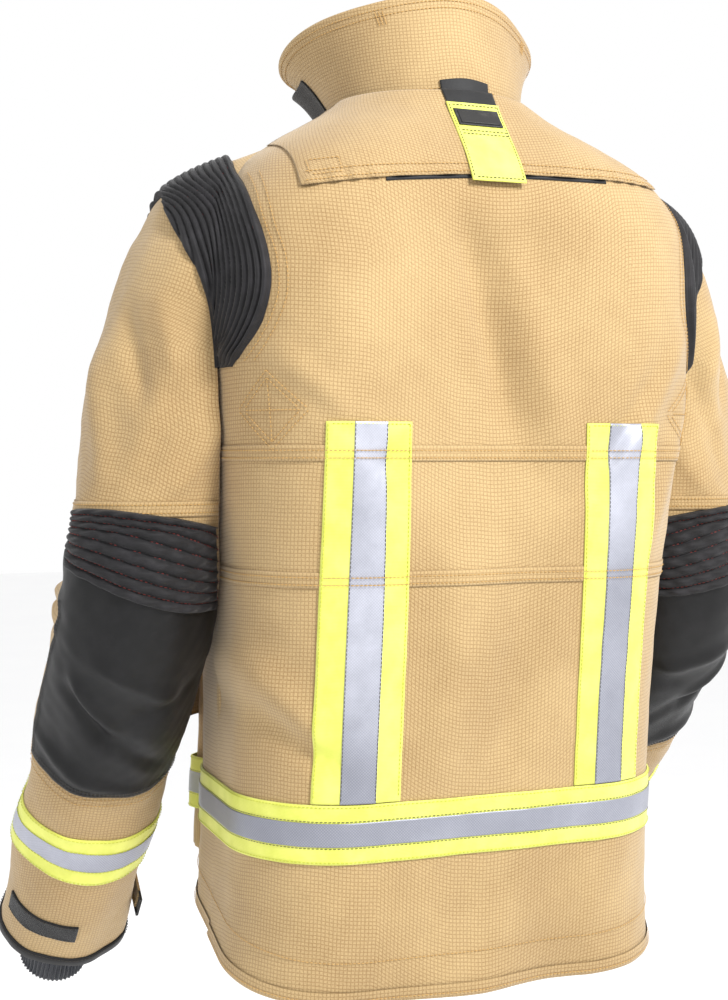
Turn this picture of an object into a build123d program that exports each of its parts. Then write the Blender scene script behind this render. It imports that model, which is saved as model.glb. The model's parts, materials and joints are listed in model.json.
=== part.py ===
from build123d import *
import math
import os

os.makedirs("parts", exist_ok=True)

# Turnout coat, millimetres. Origin: centre of the neck opening at the collar seam.
# +Z up, front of the coat towards -Y, wearer's left towards +X.

# --- cloth layers -----------------------------------------------------------
SHELL = 2.0            # outer fabric with its moisture barrier
LINER = 4.0            # quilted thermal liner
GAP = 0.3              # air between sewn layers
ARMHOLE_CLEAR = 2.5    # sleeve liner stops this far outside the body
PATCH = 2.0            # tape and webbing sewn on the shell
SILVER = 1.0           # reflective strip on the tape
LINER_OUT = -SHELL - GAP
LINER_IN = LINER_OUT - LINER
PATCH_OUT = GAP + PATCH
SILVER_IN = PATCH_OUT + GAP
SILVER_OUT = SILVER_IN + SILVER

# --- body: height, half width, half depth, corner radius, centre depth -------
BODY_LEVELS = [
    (0, 90, 100, 84, 0),
    (-20, 116, 108, 90, 6),
    (-45, 158, 118, 96, 18),
    (-70, 192, 128, 100, 28),
    (-100, 214, 137, 102, 33),
    (-150, 226, 146, 105, 34),
    (-220, 226, 150, 105, 33),
    (-290, 221, 151, 105, 30),
    (-370, 213, 152, 105, 24),
    (-450, 206, 152, 105, 16),
    (-530, 204, 151, 105, 7),
    (-620, 203, 150, 105, -2),
    (-815, 206, 150, 105, -18),
]
FRONT_LEAN = 5.7                     # the front face runs forward as it goes down
FRONT_TOP_Y, FRONT_TOP_Z = -97.0, -90.0
HEM_BACK_Y, HEM_BACK_Z = 132.0, -800.0
HEM_RISE = 11.4                      # the hem rises towards the front, degrees
SIDE_SEAM_Y = 8.0
FRONT_EDGE_X = 9.0                   # each front panel stops here, at the zip
LINER_EDGE_X = 24.0
YOKE_EDGE_Z = -92.0
YOKE_HALF_WIDTH = 168.0

# --- sleeve, wearer's left: height, centre x, centre y, half width, half depth
UPPER_LEVELS = [
    (-52, 150, 12, 20, 34),
    (-85, 184, 15, 58, 62),
    (-135, 205, 18, 74, 78),
    (-230, 236, 14, 76, 78),
    (-395, 268, 4, 70, 72),
]
ELBOW = (278.0, 0.0, -470.0)
CUFF = {"left": (308.0, -225.0, -800.0), "right": (280.0, -275.0, -785.0)}
LINER_TOP_Z = -215.0                 # the stiff part of the upper sleeve starts here
ELBOW_BELOW = 25.0                   # forearm tube starts this far below the elbow
ELBOW_STEPS = 4                      # straight spans in the bend
FOREARM_RADIUS, CUFF_RADIUS = 69.0, 61.0
RIB_HEIGHT, RIB_SET_FORWARD = 6.0, 6.0
ELBOW_PATCH_LENGTH = 178.0
SLEEVE_TAPE_ABOVE_CUFF, SLEEVE_TAPE_WIDTH = 105.0, 55.0
SLEEVE_SILVER_WIDTH = 22.0
BINDING = 11.0
WRISTLET_RADIUS, WRISTLET_WALL = 33.0, 3.0
WRISTLET_OUT, WRISTLET_IN = 58.0, 60.0
WRISTLET_CLEAR, WRISTLET_SPREAD = 1.5, 2.0
CUFF_STRIP_WIDTH, CUFF_STRIP_ABOVE = 22.0, 62.0
CUFF_TAB_LENGTH, CUFF_TAB_WIDTH, CUFF_TAB_THICK = 46.0, 24.0, 3.0
CUFF_TAB_LIFT, CUFF_TAB_WRAP = 1.0, 10.0

# --- collar -------------------------------------------------------------------
COLLAR_LEVELS = [(GAP, 90, 100, 0, 0), (32, 101, 104, -17, 8), (60, 117, 112, -36, 16)]
COLLAR_OUTER = 2.5
THROAT_TAB_Z, THROAT_TAB_HEIGHT = 14.0, 24.0
THROAT_TAB_FROM, THROAT_TAB_TO = -75.0, 40.0
THROAT_TAB_START, THROAT_TAB_END = 1.4, 4.6     # offsets from the collar's face
THROAT_LOOP_FROM, THROAT_LOOP_TO, THROAT_LOOP_RISE = 50.0, 92.0, 8.0

# --- back furniture -------------------------------------------------------------
BACK_TAPE_X, BACK_TAPE_WIDTH, BACK_TAPE_SILVER = 119.0, 75.0, 30.0
BACK_TAPE_TOP = -300.0
HEM_TAPE_TOP, HEM_TAPE_WIDTH, HEM_TAPE_SILVER = -624.0, 52.0, 21.0
RESCUE_WIDTH, STRAP_TOP, TAB_TOP, TAB_END = 50.0, 22.0, -3.0, -94.0
BADGE_WIDTH, BADGE_TOP, BADGE_END = 42.0, -22.0, -38.0
STRAP_THICK, TAB_THICK, BADGE_OUT = 2.3, 2.0, 4.6
PAD_HEIGHT = 7.0
PAD_INNER_X, PAD_OUTER_X, PAD_TOP_Z, PAD_LOW_Z = 186.0, 252.0, -55.0, -262.0

# --- front furniture --------------------------------------------------------------
ZIP_TOP, ZIP_LENGTH = 84.0, 715.0    # down the front face, from its top
CHAIN_HALF, CHAIN_THICK, CHAIN_SET_OUT = 2.4, 2.4, 0.7
ZIP_TAPE_THICK, ZIP_TAPE_INSET, ZIP_TAPE_CLEAR = 1.0, 1.5, 0.2
ZIP_GUARD_X, ZIP_GUARD_WIDTH = 14.0, 60.0
SLIDER_WIDTH, SLIDER_LENGTH, SLIDER_THICK = 12.0, 16.0, 7.0
SLIDER_CORNER, SLIDER_SET_DOWN, SLIDER_SLOT = 4.0, 2.0, 1.6
PULL_WIDTH, PULL_LENGTH, PULL_THICK, PULL_CORNER = 7.0, 34.0, 2.0, 3.0
PULL_SLOT_LENGTH, PULL_SLOT_WIDTH, PULL_SLOT_UP = 9.0, 3.4, 9.0
POCKET_FROM, POCKET_TO = 52.0, 182.0
POCKET_TOP, POCKET_LOW = -518.0, -722.0
POCKET_DEPTH, POCKET_WALL = 22.0, 2.5
FLAP_TOP, FLAP_LOW, FLAP_GAP, FLAP_THICK = -511.0, -586.0, 1.6, 3.0
FLAP_MARGIN = 7.0
HANG_LOOP_HALF, HANG_LOOP_DROP, HANG_LOOP_BAND, HANG_LOOP_SET_IN = 30.0, 16.0, 2.0, 20.0
HANG_LOOP_Z, HANG_LOOP_WIDTH = 8.0, 9.0

FAR = 900.0                          # longer than the coat, for cutting prisms
SIDES = (("left", 1), ("right", -1))

FRONT = Plane(
    origin=(0, FRONT_TOP_Y, FRONT_TOP_Z),
    x_dir=(1, 0, 0),
    z_dir=(0, -math.cos(math.radians(FRONT_LEAN)), math.sin(math.radians(FRONT_LEAN))),
)
HEM = Plane(
    origin=(0, HEM_BACK_Y, HEM_BACK_Z),
    x_dir=(1, 0, 0),
    z_dir=(0, math.sin(math.radians(HEM_RISE)), math.cos(math.radians(HEM_RISE))),
)


def save(part, label):
    """Label one finished piece and write it as its own STEP file."""
    part.label = label
    export_step(part, f"parts/{label}.step")


def body_form(grow):
    """The coat's body as a closed form, its face `grow` outside the shell."""
    with BuildPart() as form:
        for height, half_width, half_depth, radius, centre_y in BODY_LEVELS:
            with BuildSketch(Plane((0, centre_y, height))):
                RectangleRounded(2 * (half_width + grow), 2 * (half_depth + grow), radius + grow)
        loft(ruled=True)
        split(bisect_by=FRONT.offset(grow), keep=Keep.BOTTOM)
        split(bisect_by=HEM, keep=Keep.TOP)
    return form.part


def upper_form(sign, grow):
    """The upper sleeve as a closed form, from inside the shoulder to the elbow ribs."""
    with BuildPart() as form:
        for height, centre_x, centre_y, half_x, half_y in UPPER_LEVELS:
            with BuildSketch(Plane((sign * centre_x, centre_y, height))):
                Ellipse(half_x + grow, half_y + grow)
        loft()
    return form.part


def forearm_line(side, sign):
    """Elbow point, unit direction to the cuff and length of one forearm."""
    elbow = Vector(sign * ELBOW[0], ELBOW[1], ELBOW[2])
    cuff = Vector(sign * CUFF[side][0], CUFF[side][1], CUFF[side][2])
    run = cuff - elbow
    return elbow, run.normalized(), run.length


def forearm_plane(side, sign, along):
    """Cross-section plane of the forearm, its normal pointing back up the arm."""
    elbow, direction, _ = forearm_line(side, sign)
    across = Vector(1, 0, 0) - direction * direction.X
    return Plane(origin=elbow + direction * along, x_dir=across.normalized(), z_dir=direction * -1)


def forearm_radius(side, sign, along):
    """Nominal outer radius of the forearm at a distance below the elbow."""
    length = forearm_line(side, sign)[2]
    return FOREARM_RADIUS + (CUFF_RADIUS - FOREARM_RADIUS) * along / length


def forearm_form(side, sign, start, end, grow):
    """Closed cone along the forearm between two distances below the elbow."""
    with BuildPart() as form:
        for along in (start, end):
            with BuildSketch(forearm_plane(side, sign, along)):
                Circle(forearm_radius(side, sign, along) + grow)
        loft(ruled=True)
    return form.part


def forearm_band(side, sign, start, end, low, high):
    """Tube along the forearm between two offsets from its nominal face."""
    outer = forearm_form(side, sign, start, end, high)
    inner = forearm_form(side, sign, start, end, low)
    with BuildPart() as band:
        add(outer)
        add(inner, mode=Mode.SUBTRACT)
    return band.part


def elbow_form(side, sign, grow):
    """Closed form of the bend between the upper sleeve and the forearm."""
    height, centre_x, centre_y, half_x, half_y = UPPER_LEVELS[-1]
    elbow, direction, _ = forearm_line(side, sign)
    first = Vector(sign * centre_x, centre_y, height)
    last = elbow + direction * ELBOW_BELOW
    end_radius = forearm_radius(side, sign, ELBOW_BELOW)
    with BuildPart() as form:
        for step in range(ELBOW_STEPS + 1):
            turn = step / ELBOW_STEPS
            stay = 1 - turn
            centre = first * stay**2 + elbow * (2 * stay * turn) + last * turn**2
            normal = (Vector(0, 0, 1) * stay - direction * turn).normalized()
            across = (Vector(1, 0, 0) - normal * normal.X).normalized()
            with BuildSketch(Plane(origin=centre, x_dir=across, z_dir=normal)):
                Ellipse(
                    half_x * stay + end_radius * turn + grow,
                    half_y * stay + end_radius * turn + grow,
                )
        loft(ruled=True)
    return form.part


def collar_form(grow):
    """The standing collar as a closed form."""
    with BuildPart() as form:
        for height, half_width, half_depth, centre_y, tilt in COLLAR_LEVELS:
            lean = math.radians(tilt)
            level = Plane(
                origin=(0, centre_y, height),
                x_dir=(1, 0, 0),
                z_dir=(0, -math.sin(lean), math.cos(lean)),
            )
            with BuildSketch(level):
                Ellipse(half_width + grow, half_depth + grow)
        loft()
    return form.part


def layer_between(outer, inner):
    """Closed shell left when one form is taken out of a larger one."""
    with BuildPart() as layer:
        add(outer)
        add(inner, mode=Mode.SUBTRACT)
    return layer.part


def keep_prism(source, plane, from_x, to_x, from_y, to_y):
    """Part of `source` inside a rectangle of the plane, taken right through."""
    with BuildPart() as prism:
        with BuildSketch(plane.offset(FAR)):
            with Locations(((from_x + to_x) / 2, (from_y + to_y) / 2)):
                Rectangle(abs(to_x - from_x), abs(to_y - from_y))
        extrude(amount=-2 * FAR)
    with BuildPart() as kept:
        add(source)
        add(prism.part, mode=Mode.INTERSECT)
    return kept.part


def take_out(source, *tools):
    """`source` with each tool cut away."""
    with BuildPart() as left:
        add(source)
        for tool in tools:
            add(tool, mode=Mode.SUBTRACT)
    return left.part


def half(source, plane, side):
    """The part of `source` on one side of a plane."""
    with BuildPart() as kept:
        add(source)
        split(bisect_by=plane, keep=side)
    return kept.part


def group(*parts):
    """Separate solids that share one node."""
    with BuildPart() as together:
        for part in parts:
            add(part)
    return together.part


# The upright drawing plane, seen from the front: x is the wearer's left, y is up.
UPRIGHT = Plane(origin=(0, 0, 0), x_dir=(1, 0, 0), z_dir=(0, -1, 0))
SIDE_SEAM = Plane(origin=(0, SIDE_SEAM_Y, 0), x_dir=(1, 0, 0), z_dir=(0, 1, 0))
MIDDLE = Plane(origin=(0, 0, 0), x_dir=(1, 0, 0), z_dir=(0, 1, 0))

# --- body forms, made once and shared by every layer -------------------------------
body_face = body_form(0)
body_clear = body_form(GAP)
body_patch_out = body_form(PATCH_OUT)
arms_face = [upper_form(sign, GAP) for _, sign in SIDES]
arms_patch = [upper_form(sign, PATCH_OUT) for _, sign in SIDES]

shell_layer = take_out(layer_between(body_face, body_form(-SHELL)), *arms_face)
liner_layer = take_out(layer_between(body_form(LINER_OUT), body_form(LINER_IN)), *arms_face)
patch_layer = take_out(layer_between(body_patch_out, body_clear), *arms_patch)
silver_layer = layer_between(body_form(SILVER_OUT), body_form(SILVER_IN))

# --- body panels ---------------------------------------------------------------------
back_shell = half(shell_layer, SIDE_SEAM, Keep.TOP)
front_shell = half(shell_layer, SIDE_SEAM, Keep.BOTTOM)
back_liner = half(liner_layer, SIDE_SEAM, Keep.TOP)
front_liner = half(liner_layer, SIDE_SEAM, Keep.BOTTOM)
save(back_shell, "back_panel")
save(back_liner, "back_liner")
for side, sign in SIDES:
    save(
        keep_prism(front_shell, UPRIGHT, sign * FRONT_EDGE_X, sign * FAR, -FAR, FAR),
        f"{side}_front_panel",
    )
    save(
        keep_prism(front_liner, UPRIGHT, sign * LINER_EDGE_X, sign * FAR, -FAR, FAR),
        f"{side}_front_liner",
    )

# --- yoke flap over the upper back, and the tapes below it ---------------------------
back_patch = half(patch_layer, SIDE_SEAM, Keep.TOP)
yoke = keep_prism(back_patch, UPRIGHT, -YOKE_HALF_WIDTH, YOKE_HALF_WIDTH, YOKE_EDGE_Z, -GAP)
save(yoke, "back_yoke")

hem_tape_low = HEM_TAPE_TOP - HEM_TAPE_WIDTH
silver_inset = (BACK_TAPE_WIDTH - BACK_TAPE_SILVER) / 2
back_tapes = group(
    *[
        keep_prism(
            back_patch,
            UPRIGHT,
            sign * BACK_TAPE_X - BACK_TAPE_WIDTH / 2,
            sign * BACK_TAPE_X + BACK_TAPE_WIDTH / 2,
            HEM_TAPE_TOP + GAP,
            BACK_TAPE_TOP,
        )
        for _, sign in SIDES
    ]
)
save(back_tapes, "back_tapes")
back_silver = half(silver_layer, SIDE_SEAM, Keep.TOP)
back_tape_silver = group(
    *[
        keep_prism(
            back_silver,
            UPRIGHT,
            sign * BACK_TAPE_X - BACK_TAPE_SILVER / 2,
            sign * BACK_TAPE_X + BACK_TAPE_SILVER / 2,
            HEM_TAPE_TOP + GAP,
            BACK_TAPE_TOP,
        )
        for _, sign in SIDES
    ]
)
save(back_tape_silver, "back_tape_silver")

# --- pockets: hollow, open at the top under their flaps -------------------------------
pocket_outer = layer_between(body_form(GAP + POCKET_DEPTH), body_clear)
pocket_inner = layer_between(
    body_form(GAP + POCKET_DEPTH - POCKET_WALL), body_form(GAP + POCKET_WALL)
)
pocket_outer = half(pocket_outer, MIDDLE, Keep.BOTTOM)
pocket_inner = half(pocket_inner, MIDDLE, Keep.BOTTOM)
flap_start = GAP + POCKET_DEPTH + FLAP_GAP
flap_layer = half(
    layer_between(body_form(flap_start + FLAP_THICK), body_form(flap_start)), MIDDLE, Keep.BOTTOM
)
for side, sign in SIDES:
    block = keep_prism(
        pocket_outer, UPRIGHT, sign * POCKET_FROM, sign * POCKET_TO, POCKET_LOW, POCKET_TOP
    )
    hollow = keep_prism(
        pocket_inner,
        UPRIGHT,
        sign * (POCKET_FROM + POCKET_WALL),
        sign * (POCKET_TO - POCKET_WALL),
        POCKET_LOW + POCKET_WALL,
        POCKET_TOP + POCKET_WALL,
    )
    save(take_out(block, hollow), f"{side}_pocket")
    save(
        keep_prism(
            flap_layer,
            UPRIGHT,
            sign * (POCKET_FROM - FLAP_MARGIN),
            sign * (POCKET_TO + FLAP_MARGIN),
            FLAP_LOW,
            FLAP_TOP,
        ),
        f"{side}_pocket_flap",
    )

# --- hem tape: round the body, stepping out over each pocket --------------------------
pocket_patch = half(
    layer_between(
        body_form(GAP + POCKET_DEPTH + PATCH_OUT), body_form(GAP + POCKET_DEPTH + GAP)
    ),
    MIDDLE,
    Keep.BOTTOM,
)
pocket_silver = half(
    layer_between(
        body_form(GAP + POCKET_DEPTH + SILVER_OUT), body_form(GAP + POCKET_DEPTH + SILVER_IN)
    ),
    MIDDLE,
    Keep.BOTTOM,
)


def round_the_hem(base_layer, raised_layer, top, width):
    """One strip round the hem, split at the zip and raised over the pockets."""
    ring = keep_prism(base_layer, UPRIGHT, -FAR, FAR, top - width, top)
    behind = half(ring, MIDDLE, Keep.TOP)
    before = half(ring, MIDDLE, Keep.BOTTOM)
    pieces = [behind]
    for _, sign in SIDES:
        near = sign * (POCKET_FROM - GAP)
        far = sign * (POCKET_TO + GAP)
        pieces.append(keep_prism(before, UPRIGHT, sign * FRONT_EDGE_X, near, -FAR, FAR))
        pieces.append(keep_prism(before, UPRIGHT, far, sign * FAR, -FAR, FAR))
        pieces.append(
            keep_prism(
                raised_layer, UPRIGHT, sign * POCKET_FROM, sign * POCKET_TO, top - width, top
            )
        )
    return group(*pieces)


save(round_the_hem(patch_layer, pocket_patch, HEM_TAPE_TOP, HEM_TAPE_WIDTH), "hem_tape")
silver_drop = (HEM_TAPE_WIDTH - HEM_TAPE_SILVER) / 2
save(
    round_the_hem(silver_layer, pocket_silver, HEM_TAPE_TOP - silver_drop, HEM_TAPE_SILVER),
    "hem_tape_silver",
)

# --- front zip -----------------------------------------------------------------------------
zip_middle = ZIP_TOP - ZIP_LENGTH / 2
chain_face = -SHELL - GAP + CHAIN_SET_OUT
tape_outer, tape_inner = LINER_EDGE_X - ZIP_TAPE_INSET, CHAIN_HALF + ZIP_TAPE_CLEAR
with BuildPart() as zip_tapes:
    with BuildSketch(FRONT.offset(-SHELL - GAP)):
        for _, sign in SIDES:
            with Locations((sign * (tape_outer + tape_inner) / 2, zip_middle)):
                Rectangle(tape_outer - tape_inner, ZIP_LENGTH)
    extrude(amount=-ZIP_TAPE_THICK)
save(zip_tapes.part, "zip_tapes")

with BuildPart() as zip_chain:
    with BuildSketch(FRONT.offset(chain_face)):
        with Locations((0, zip_middle)):
            Rectangle(2 * CHAIN_HALF, ZIP_LENGTH)
    extrude(amount=-CHAIN_THICK)
save(zip_chain.part, "zip_chain")

slider_top = FRONT.offset(chain_face - CHAIN_THICK / 2 + SLIDER_THICK / 2)
slider_y = ZIP_TOP - SLIDER_LENGTH / 2 - SLIDER_SET_DOWN
with BuildPart() as zip_slider:
    with BuildSketch(slider_top):
        with Locations((0, slider_y)):
            RectangleRounded(SLIDER_WIDTH, SLIDER_LENGTH, SLIDER_CORNER)
    extrude(amount=-SLIDER_THICK)
    with BuildSketch(FRONT.offset(chain_face + GAP)):
        with Locations((0, slider_y)):
            Rectangle(2 * CHAIN_HALF + 2 * GAP, SLIDER_LENGTH * 2)
    extrude(amount=-CHAIN_THICK - 2 * GAP, mode=Mode.SUBTRACT)
    with BuildSketch(FRONT.offset(-SHELL)):
        with Locations((0, slider_y)):
            Rectangle(SLIDER_WIDTH * 2, SLIDER_LENGTH * 2)
    extrude(amount=-SLIDER_SLOT, mode=Mode.SUBTRACT)
save(zip_slider.part, "zip_slider")

with BuildPart() as zip_pull:
    with BuildSketch(slider_top.offset(GAP)):
        with Locations((0, slider_y - PULL_LENGTH / 2 + PULL_CORNER)):
            RectangleRounded(PULL_WIDTH, PULL_LENGTH, PULL_CORNER)
        with Locations((0, slider_y - PULL_LENGTH + PULL_SLOT_UP)):
            SlotOverall(PULL_SLOT_LENGTH, PULL_SLOT_WIDTH, rotation=90, mode=Mode.SUBTRACT)
    extrude(amount=PULL_THICK)
save(zip_pull.part, "zip_pull")

with BuildPart() as zip_guard:
    with BuildSketch(FRONT.offset(LINER_IN - GAP)):
        with Locations((ZIP_GUARD_X, zip_middle)):
            Rectangle(ZIP_GUARD_WIDTH, ZIP_LENGTH)
    extrude(amount=-SHELL)
save(zip_guard.part, "zip_guard")

# --- collar ---------------------------------------------------------------------------------
collar_outer_face = collar_form(0)
collar_outer = layer_between(collar_outer_face, collar_form(-COLLAR_OUTER))
collar_lining = layer_between(
    collar_form(-COLLAR_OUTER - GAP), collar_form(-2 * COLLAR_OUTER - GAP)
)


def open_at_front(source):
    """A collar layer with its front opening cut."""
    with BuildPart() as opened:
        add(source)
        with BuildSketch(UPRIGHT):
            Rectangle(2 * FRONT_EDGE_X, FAR)
        extrude(amount=FAR, mode=Mode.SUBTRACT)
    return opened.part


save(open_at_front(collar_outer), "collar_outer")
save(open_at_front(collar_lining), "collar_lining")

collar_patch = half(layer_between(collar_form(PATCH_OUT), collar_form(GAP)), MIDDLE, Keep.BOTTOM)
collar_tab = layer_between(collar_form(THROAT_TAB_END), collar_form(THROAT_TAB_START))
collar_tab = half(collar_tab, MIDDLE, Keep.BOTTOM)
tab_low = THROAT_TAB_Z - THROAT_TAB_HEIGHT / 2
tab_high = THROAT_TAB_Z + THROAT_TAB_HEIGHT / 2
save(
    keep_prism(collar_tab, UPRIGHT, THROAT_TAB_FROM, THROAT_TAB_TO, tab_low, tab_high),
    "throat_tab",
)
save(
    keep_prism(
        collar_patch, UPRIGHT, THROAT_LOOP_FROM, THROAT_LOOP_TO, GAP, tab_high + THROAT_LOOP_RISE
    ),
    "throat_loop_patch",
)

# Hang loop: a bowed band inside the back of the neck.
loop_y = COLLAR_LEVELS[0][2] - HANG_LOOP_SET_IN
with BuildPart() as hang_loop:
    with BuildSketch(Plane.XY.offset(HANG_LOOP_Z)):
        with BuildLine():
            ThreePointArc(
                (-HANG_LOOP_HALF, loop_y), (0, loop_y - HANG_LOOP_DROP), (HANG_LOOP_HALF, loop_y)
            )
            Line((HANG_LOOP_HALF, loop_y), (HANG_LOOP_HALF, loop_y - HANG_LOOP_BAND))
            ThreePointArc(
                (HANG_LOOP_HALF, loop_y - HANG_LOOP_BAND),
                (0, loop_y - HANG_LOOP_DROP - HANG_LOOP_BAND),
                (-HANG_LOOP_HALF, loop_y - HANG_LOOP_BAND),
            )
            Line((-HANG_LOOP_HALF, loop_y - HANG_LOOP_BAND), (-HANG_LOOP_HALF, loop_y))
        make_face()
    extrude(amount=HANG_LOOP_WIDTH)
save(hang_loop.part, "hang_loop")

# --- rescue strap, its pull tab and the plain badge ---------------------------------------------
half_rescue = RESCUE_WIDTH / 2
nape_low = GAP + PATCH_OUT
strap_layer = half(
    layer_between(body_form(nape_low + TAB_THICK), body_form(nape_low)), MIDDLE, Keep.TOP
)
strap_collar = layer_between(collar_form(GAP + STRAP_THICK), collar_form(GAP))
strap_collar = half(strap_collar, MIDDLE, Keep.TOP)
save(
    keep_prism(strap_collar, UPRIGHT, -half_rescue, half_rescue, GAP, STRAP_TOP),
    "rescue_strap",
)
save(
    keep_prism(strap_layer, UPRIGHT, -half_rescue, half_rescue, TAB_END, TAB_TOP),
    "rescue_tab",
)
badge_layer = half(
    layer_between(body_form(nape_low + BADGE_OUT), body_form(nape_low + TAB_THICK + GAP)),
    MIDDLE,
    Keep.TOP,
)
save(
    keep_prism(badge_layer, UPRIGHT, -BADGE_WIDTH / 2, BADGE_WIDTH / 2, BADGE_END, BADGE_TOP),
    "rescue_badge",
)

# --- sleeves ----------------------------------------------------------------------------------------
for side, sign in SIDES:
    length = forearm_line(side, sign)[2]
    start = ELBOW_BELOW + GAP
    body_out = body_form(GAP * 2)

    # Upper sleeve: fabric from the armhole to the ribs, stiff liner from below the shoulder.
    sleeve_low = UPPER_LEVELS[-1][0]
    fabric = layer_between(upper_form(sign, 0), upper_form(sign, -SHELL))
    save(take_out(fabric, body_out), f"{side}_upper_sleeve")
    lining = layer_between(upper_form(sign, LINER_OUT), upper_form(sign, LINER_IN))
    lining = keep_prism(lining, UPRIGHT, -FAR, FAR, sleeve_low, LINER_TOP_Z)
    save(take_out(lining, body_form(ARMHOLE_CLEAR)), f"{side}_upper_sleeve_liner")

    # Shoulder pad: one raised layer over the shoulder seam, back and front.
    pad_outer = group(body_form(PATCH_OUT + PAD_HEIGHT), upper_form(sign, PATCH_OUT + PAD_HEIGHT))
    pad_inner = group(body_form(PATCH_OUT), upper_form(sign, PATCH_OUT))
    pad = keep_prism(
        layer_between(pad_outer, pad_inner),
        UPRIGHT,
        sign * PAD_INNER_X,
        sign * PAD_OUTER_X,
        PAD_LOW_Z,
        PAD_TOP_Z,
    )
    save(pad, f"{side}_shoulder_pad")

    # Elbow: fabric bend, and the ribs over its back half.
    bend = layer_between(elbow_form(side, sign, 0), elbow_form(side, sign, -SHELL))
    save(take_out(bend, body_out), f"{side}_elbow_sleeve")
    ribs = layer_between(elbow_form(side, sign, RIB_HEIGHT), elbow_form(side, sign, GAP))
    rib_cut = Plane(origin=(0, ELBOW[1] - RIB_SET_FORWARD, 0), x_dir=(1, 0, 0), z_dir=(0, 1, 0))
    save(take_out(half(ribs, rib_cut, Keep.TOP), body_out), f"{side}_elbow_ribs")

    # Forearm tube, liner and what is sewn round it.
    save(forearm_band(side, sign, start, length, -SHELL, 0), f"{side}_forearm_sleeve")
    save(forearm_band(side, sign, start, length, LINER_IN, LINER_OUT), f"{side}_forearm_liner")
    back_side = forearm_plane(side, sign, 0)
    back_cut = Plane(
        origin=back_side.origin, x_dir=back_side.x_dir, z_dir=back_side.y_dir
    )
    patch = forearm_band(side, sign, start, start + ELBOW_PATCH_LENGTH, GAP, PATCH_OUT)
    save(half(patch, back_cut, Keep.TOP), f"{side}_elbow_patch")

    tape_start = length - SLEEVE_TAPE_ABOVE_CUFF - SLEEVE_TAPE_WIDTH
    tape_end = tape_start + SLEEVE_TAPE_WIDTH
    silver_start = tape_start + (SLEEVE_TAPE_WIDTH - SLEEVE_SILVER_WIDTH) / 2
    save(forearm_band(side, sign, tape_start, tape_end, GAP, PATCH_OUT), f"{side}_sleeve_tape")
    save(
        forearm_band(
            side, sign, silver_start, silver_start + SLEEVE_SILVER_WIDTH, SILVER_IN, SILVER_OUT
        ),
        f"{side}_sleeve_tape_silver",
    )
    save(
        forearm_band(side, sign, length - BINDING, length, GAP, PATCH_OUT),
        f"{side}_cuff_binding",
    )

    # Knitted wristlet, flared where it is sewn inside the cuff.
    flare = CUFF_RADIUS + LINER_IN - WRISTLET_CLEAR
    profile = [
        (length - WRISTLET_IN, flare),
        (length - BINDING, WRISTLET_RADIUS + WRISTLET_SPREAD),
        (length + WRISTLET_OUT, WRISTLET_RADIUS),
    ]
    with BuildPart() as wrist_outer:
        for along, radius in profile:
            with BuildSketch(forearm_plane(side, sign, along)):
                Circle(radius)
        loft(ruled=True)
    with BuildPart() as wrist_inner:
        for along, radius in profile:
            with BuildSketch(forearm_plane(side, sign, along)):
                Circle(radius - WRISTLET_WALL)
        loft(ruled=True)
    save(layer_between(wrist_outer.part, wrist_inner.part), f"{side}_wristlet")

    # Cuff strip on the outer back face, and the pull tab on the side next to the body.
    strip_end = length - CUFF_STRIP_ABOVE + CUFF_STRIP_WIDTH
    strip = forearm_band(side, sign, strip_end - CUFF_STRIP_WIDTH, strip_end, GAP, PATCH_OUT)
    strip = half(strip, back_cut, Keep.TOP)
    outer_side = Plane(
        origin=back_side.origin, x_dir=back_side.y_dir, z_dir=back_side.x_dir * sign
    )
    save(half(strip, outer_side, Keep.TOP), f"{side}_cuff_strip")

    tab_along = length - CUFF_STRIP_ABOVE + CUFF_TAB_WIDTH / 2
    tab_face = forearm_radius(side, sign, length - CUFF_STRIP_ABOVE) + CUFF_TAB_LIFT
    tab_x = -sign * (tab_face + CUFF_TAB_THICK / 2)
    with BuildPart() as cuff_tab:
        with BuildSketch(forearm_plane(side, sign, tab_along)):
            with Locations((tab_x, CUFF_TAB_LENGTH / 2 - CUFF_TAB_WRAP)):
                Rectangle(CUFF_TAB_THICK, CUFF_TAB_LENGTH)
        extrude(amount=CUFF_TAB_WIDTH / 2, both=True)
    save(cuff_tab.part, f"{side}_cuff_tab")
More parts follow.
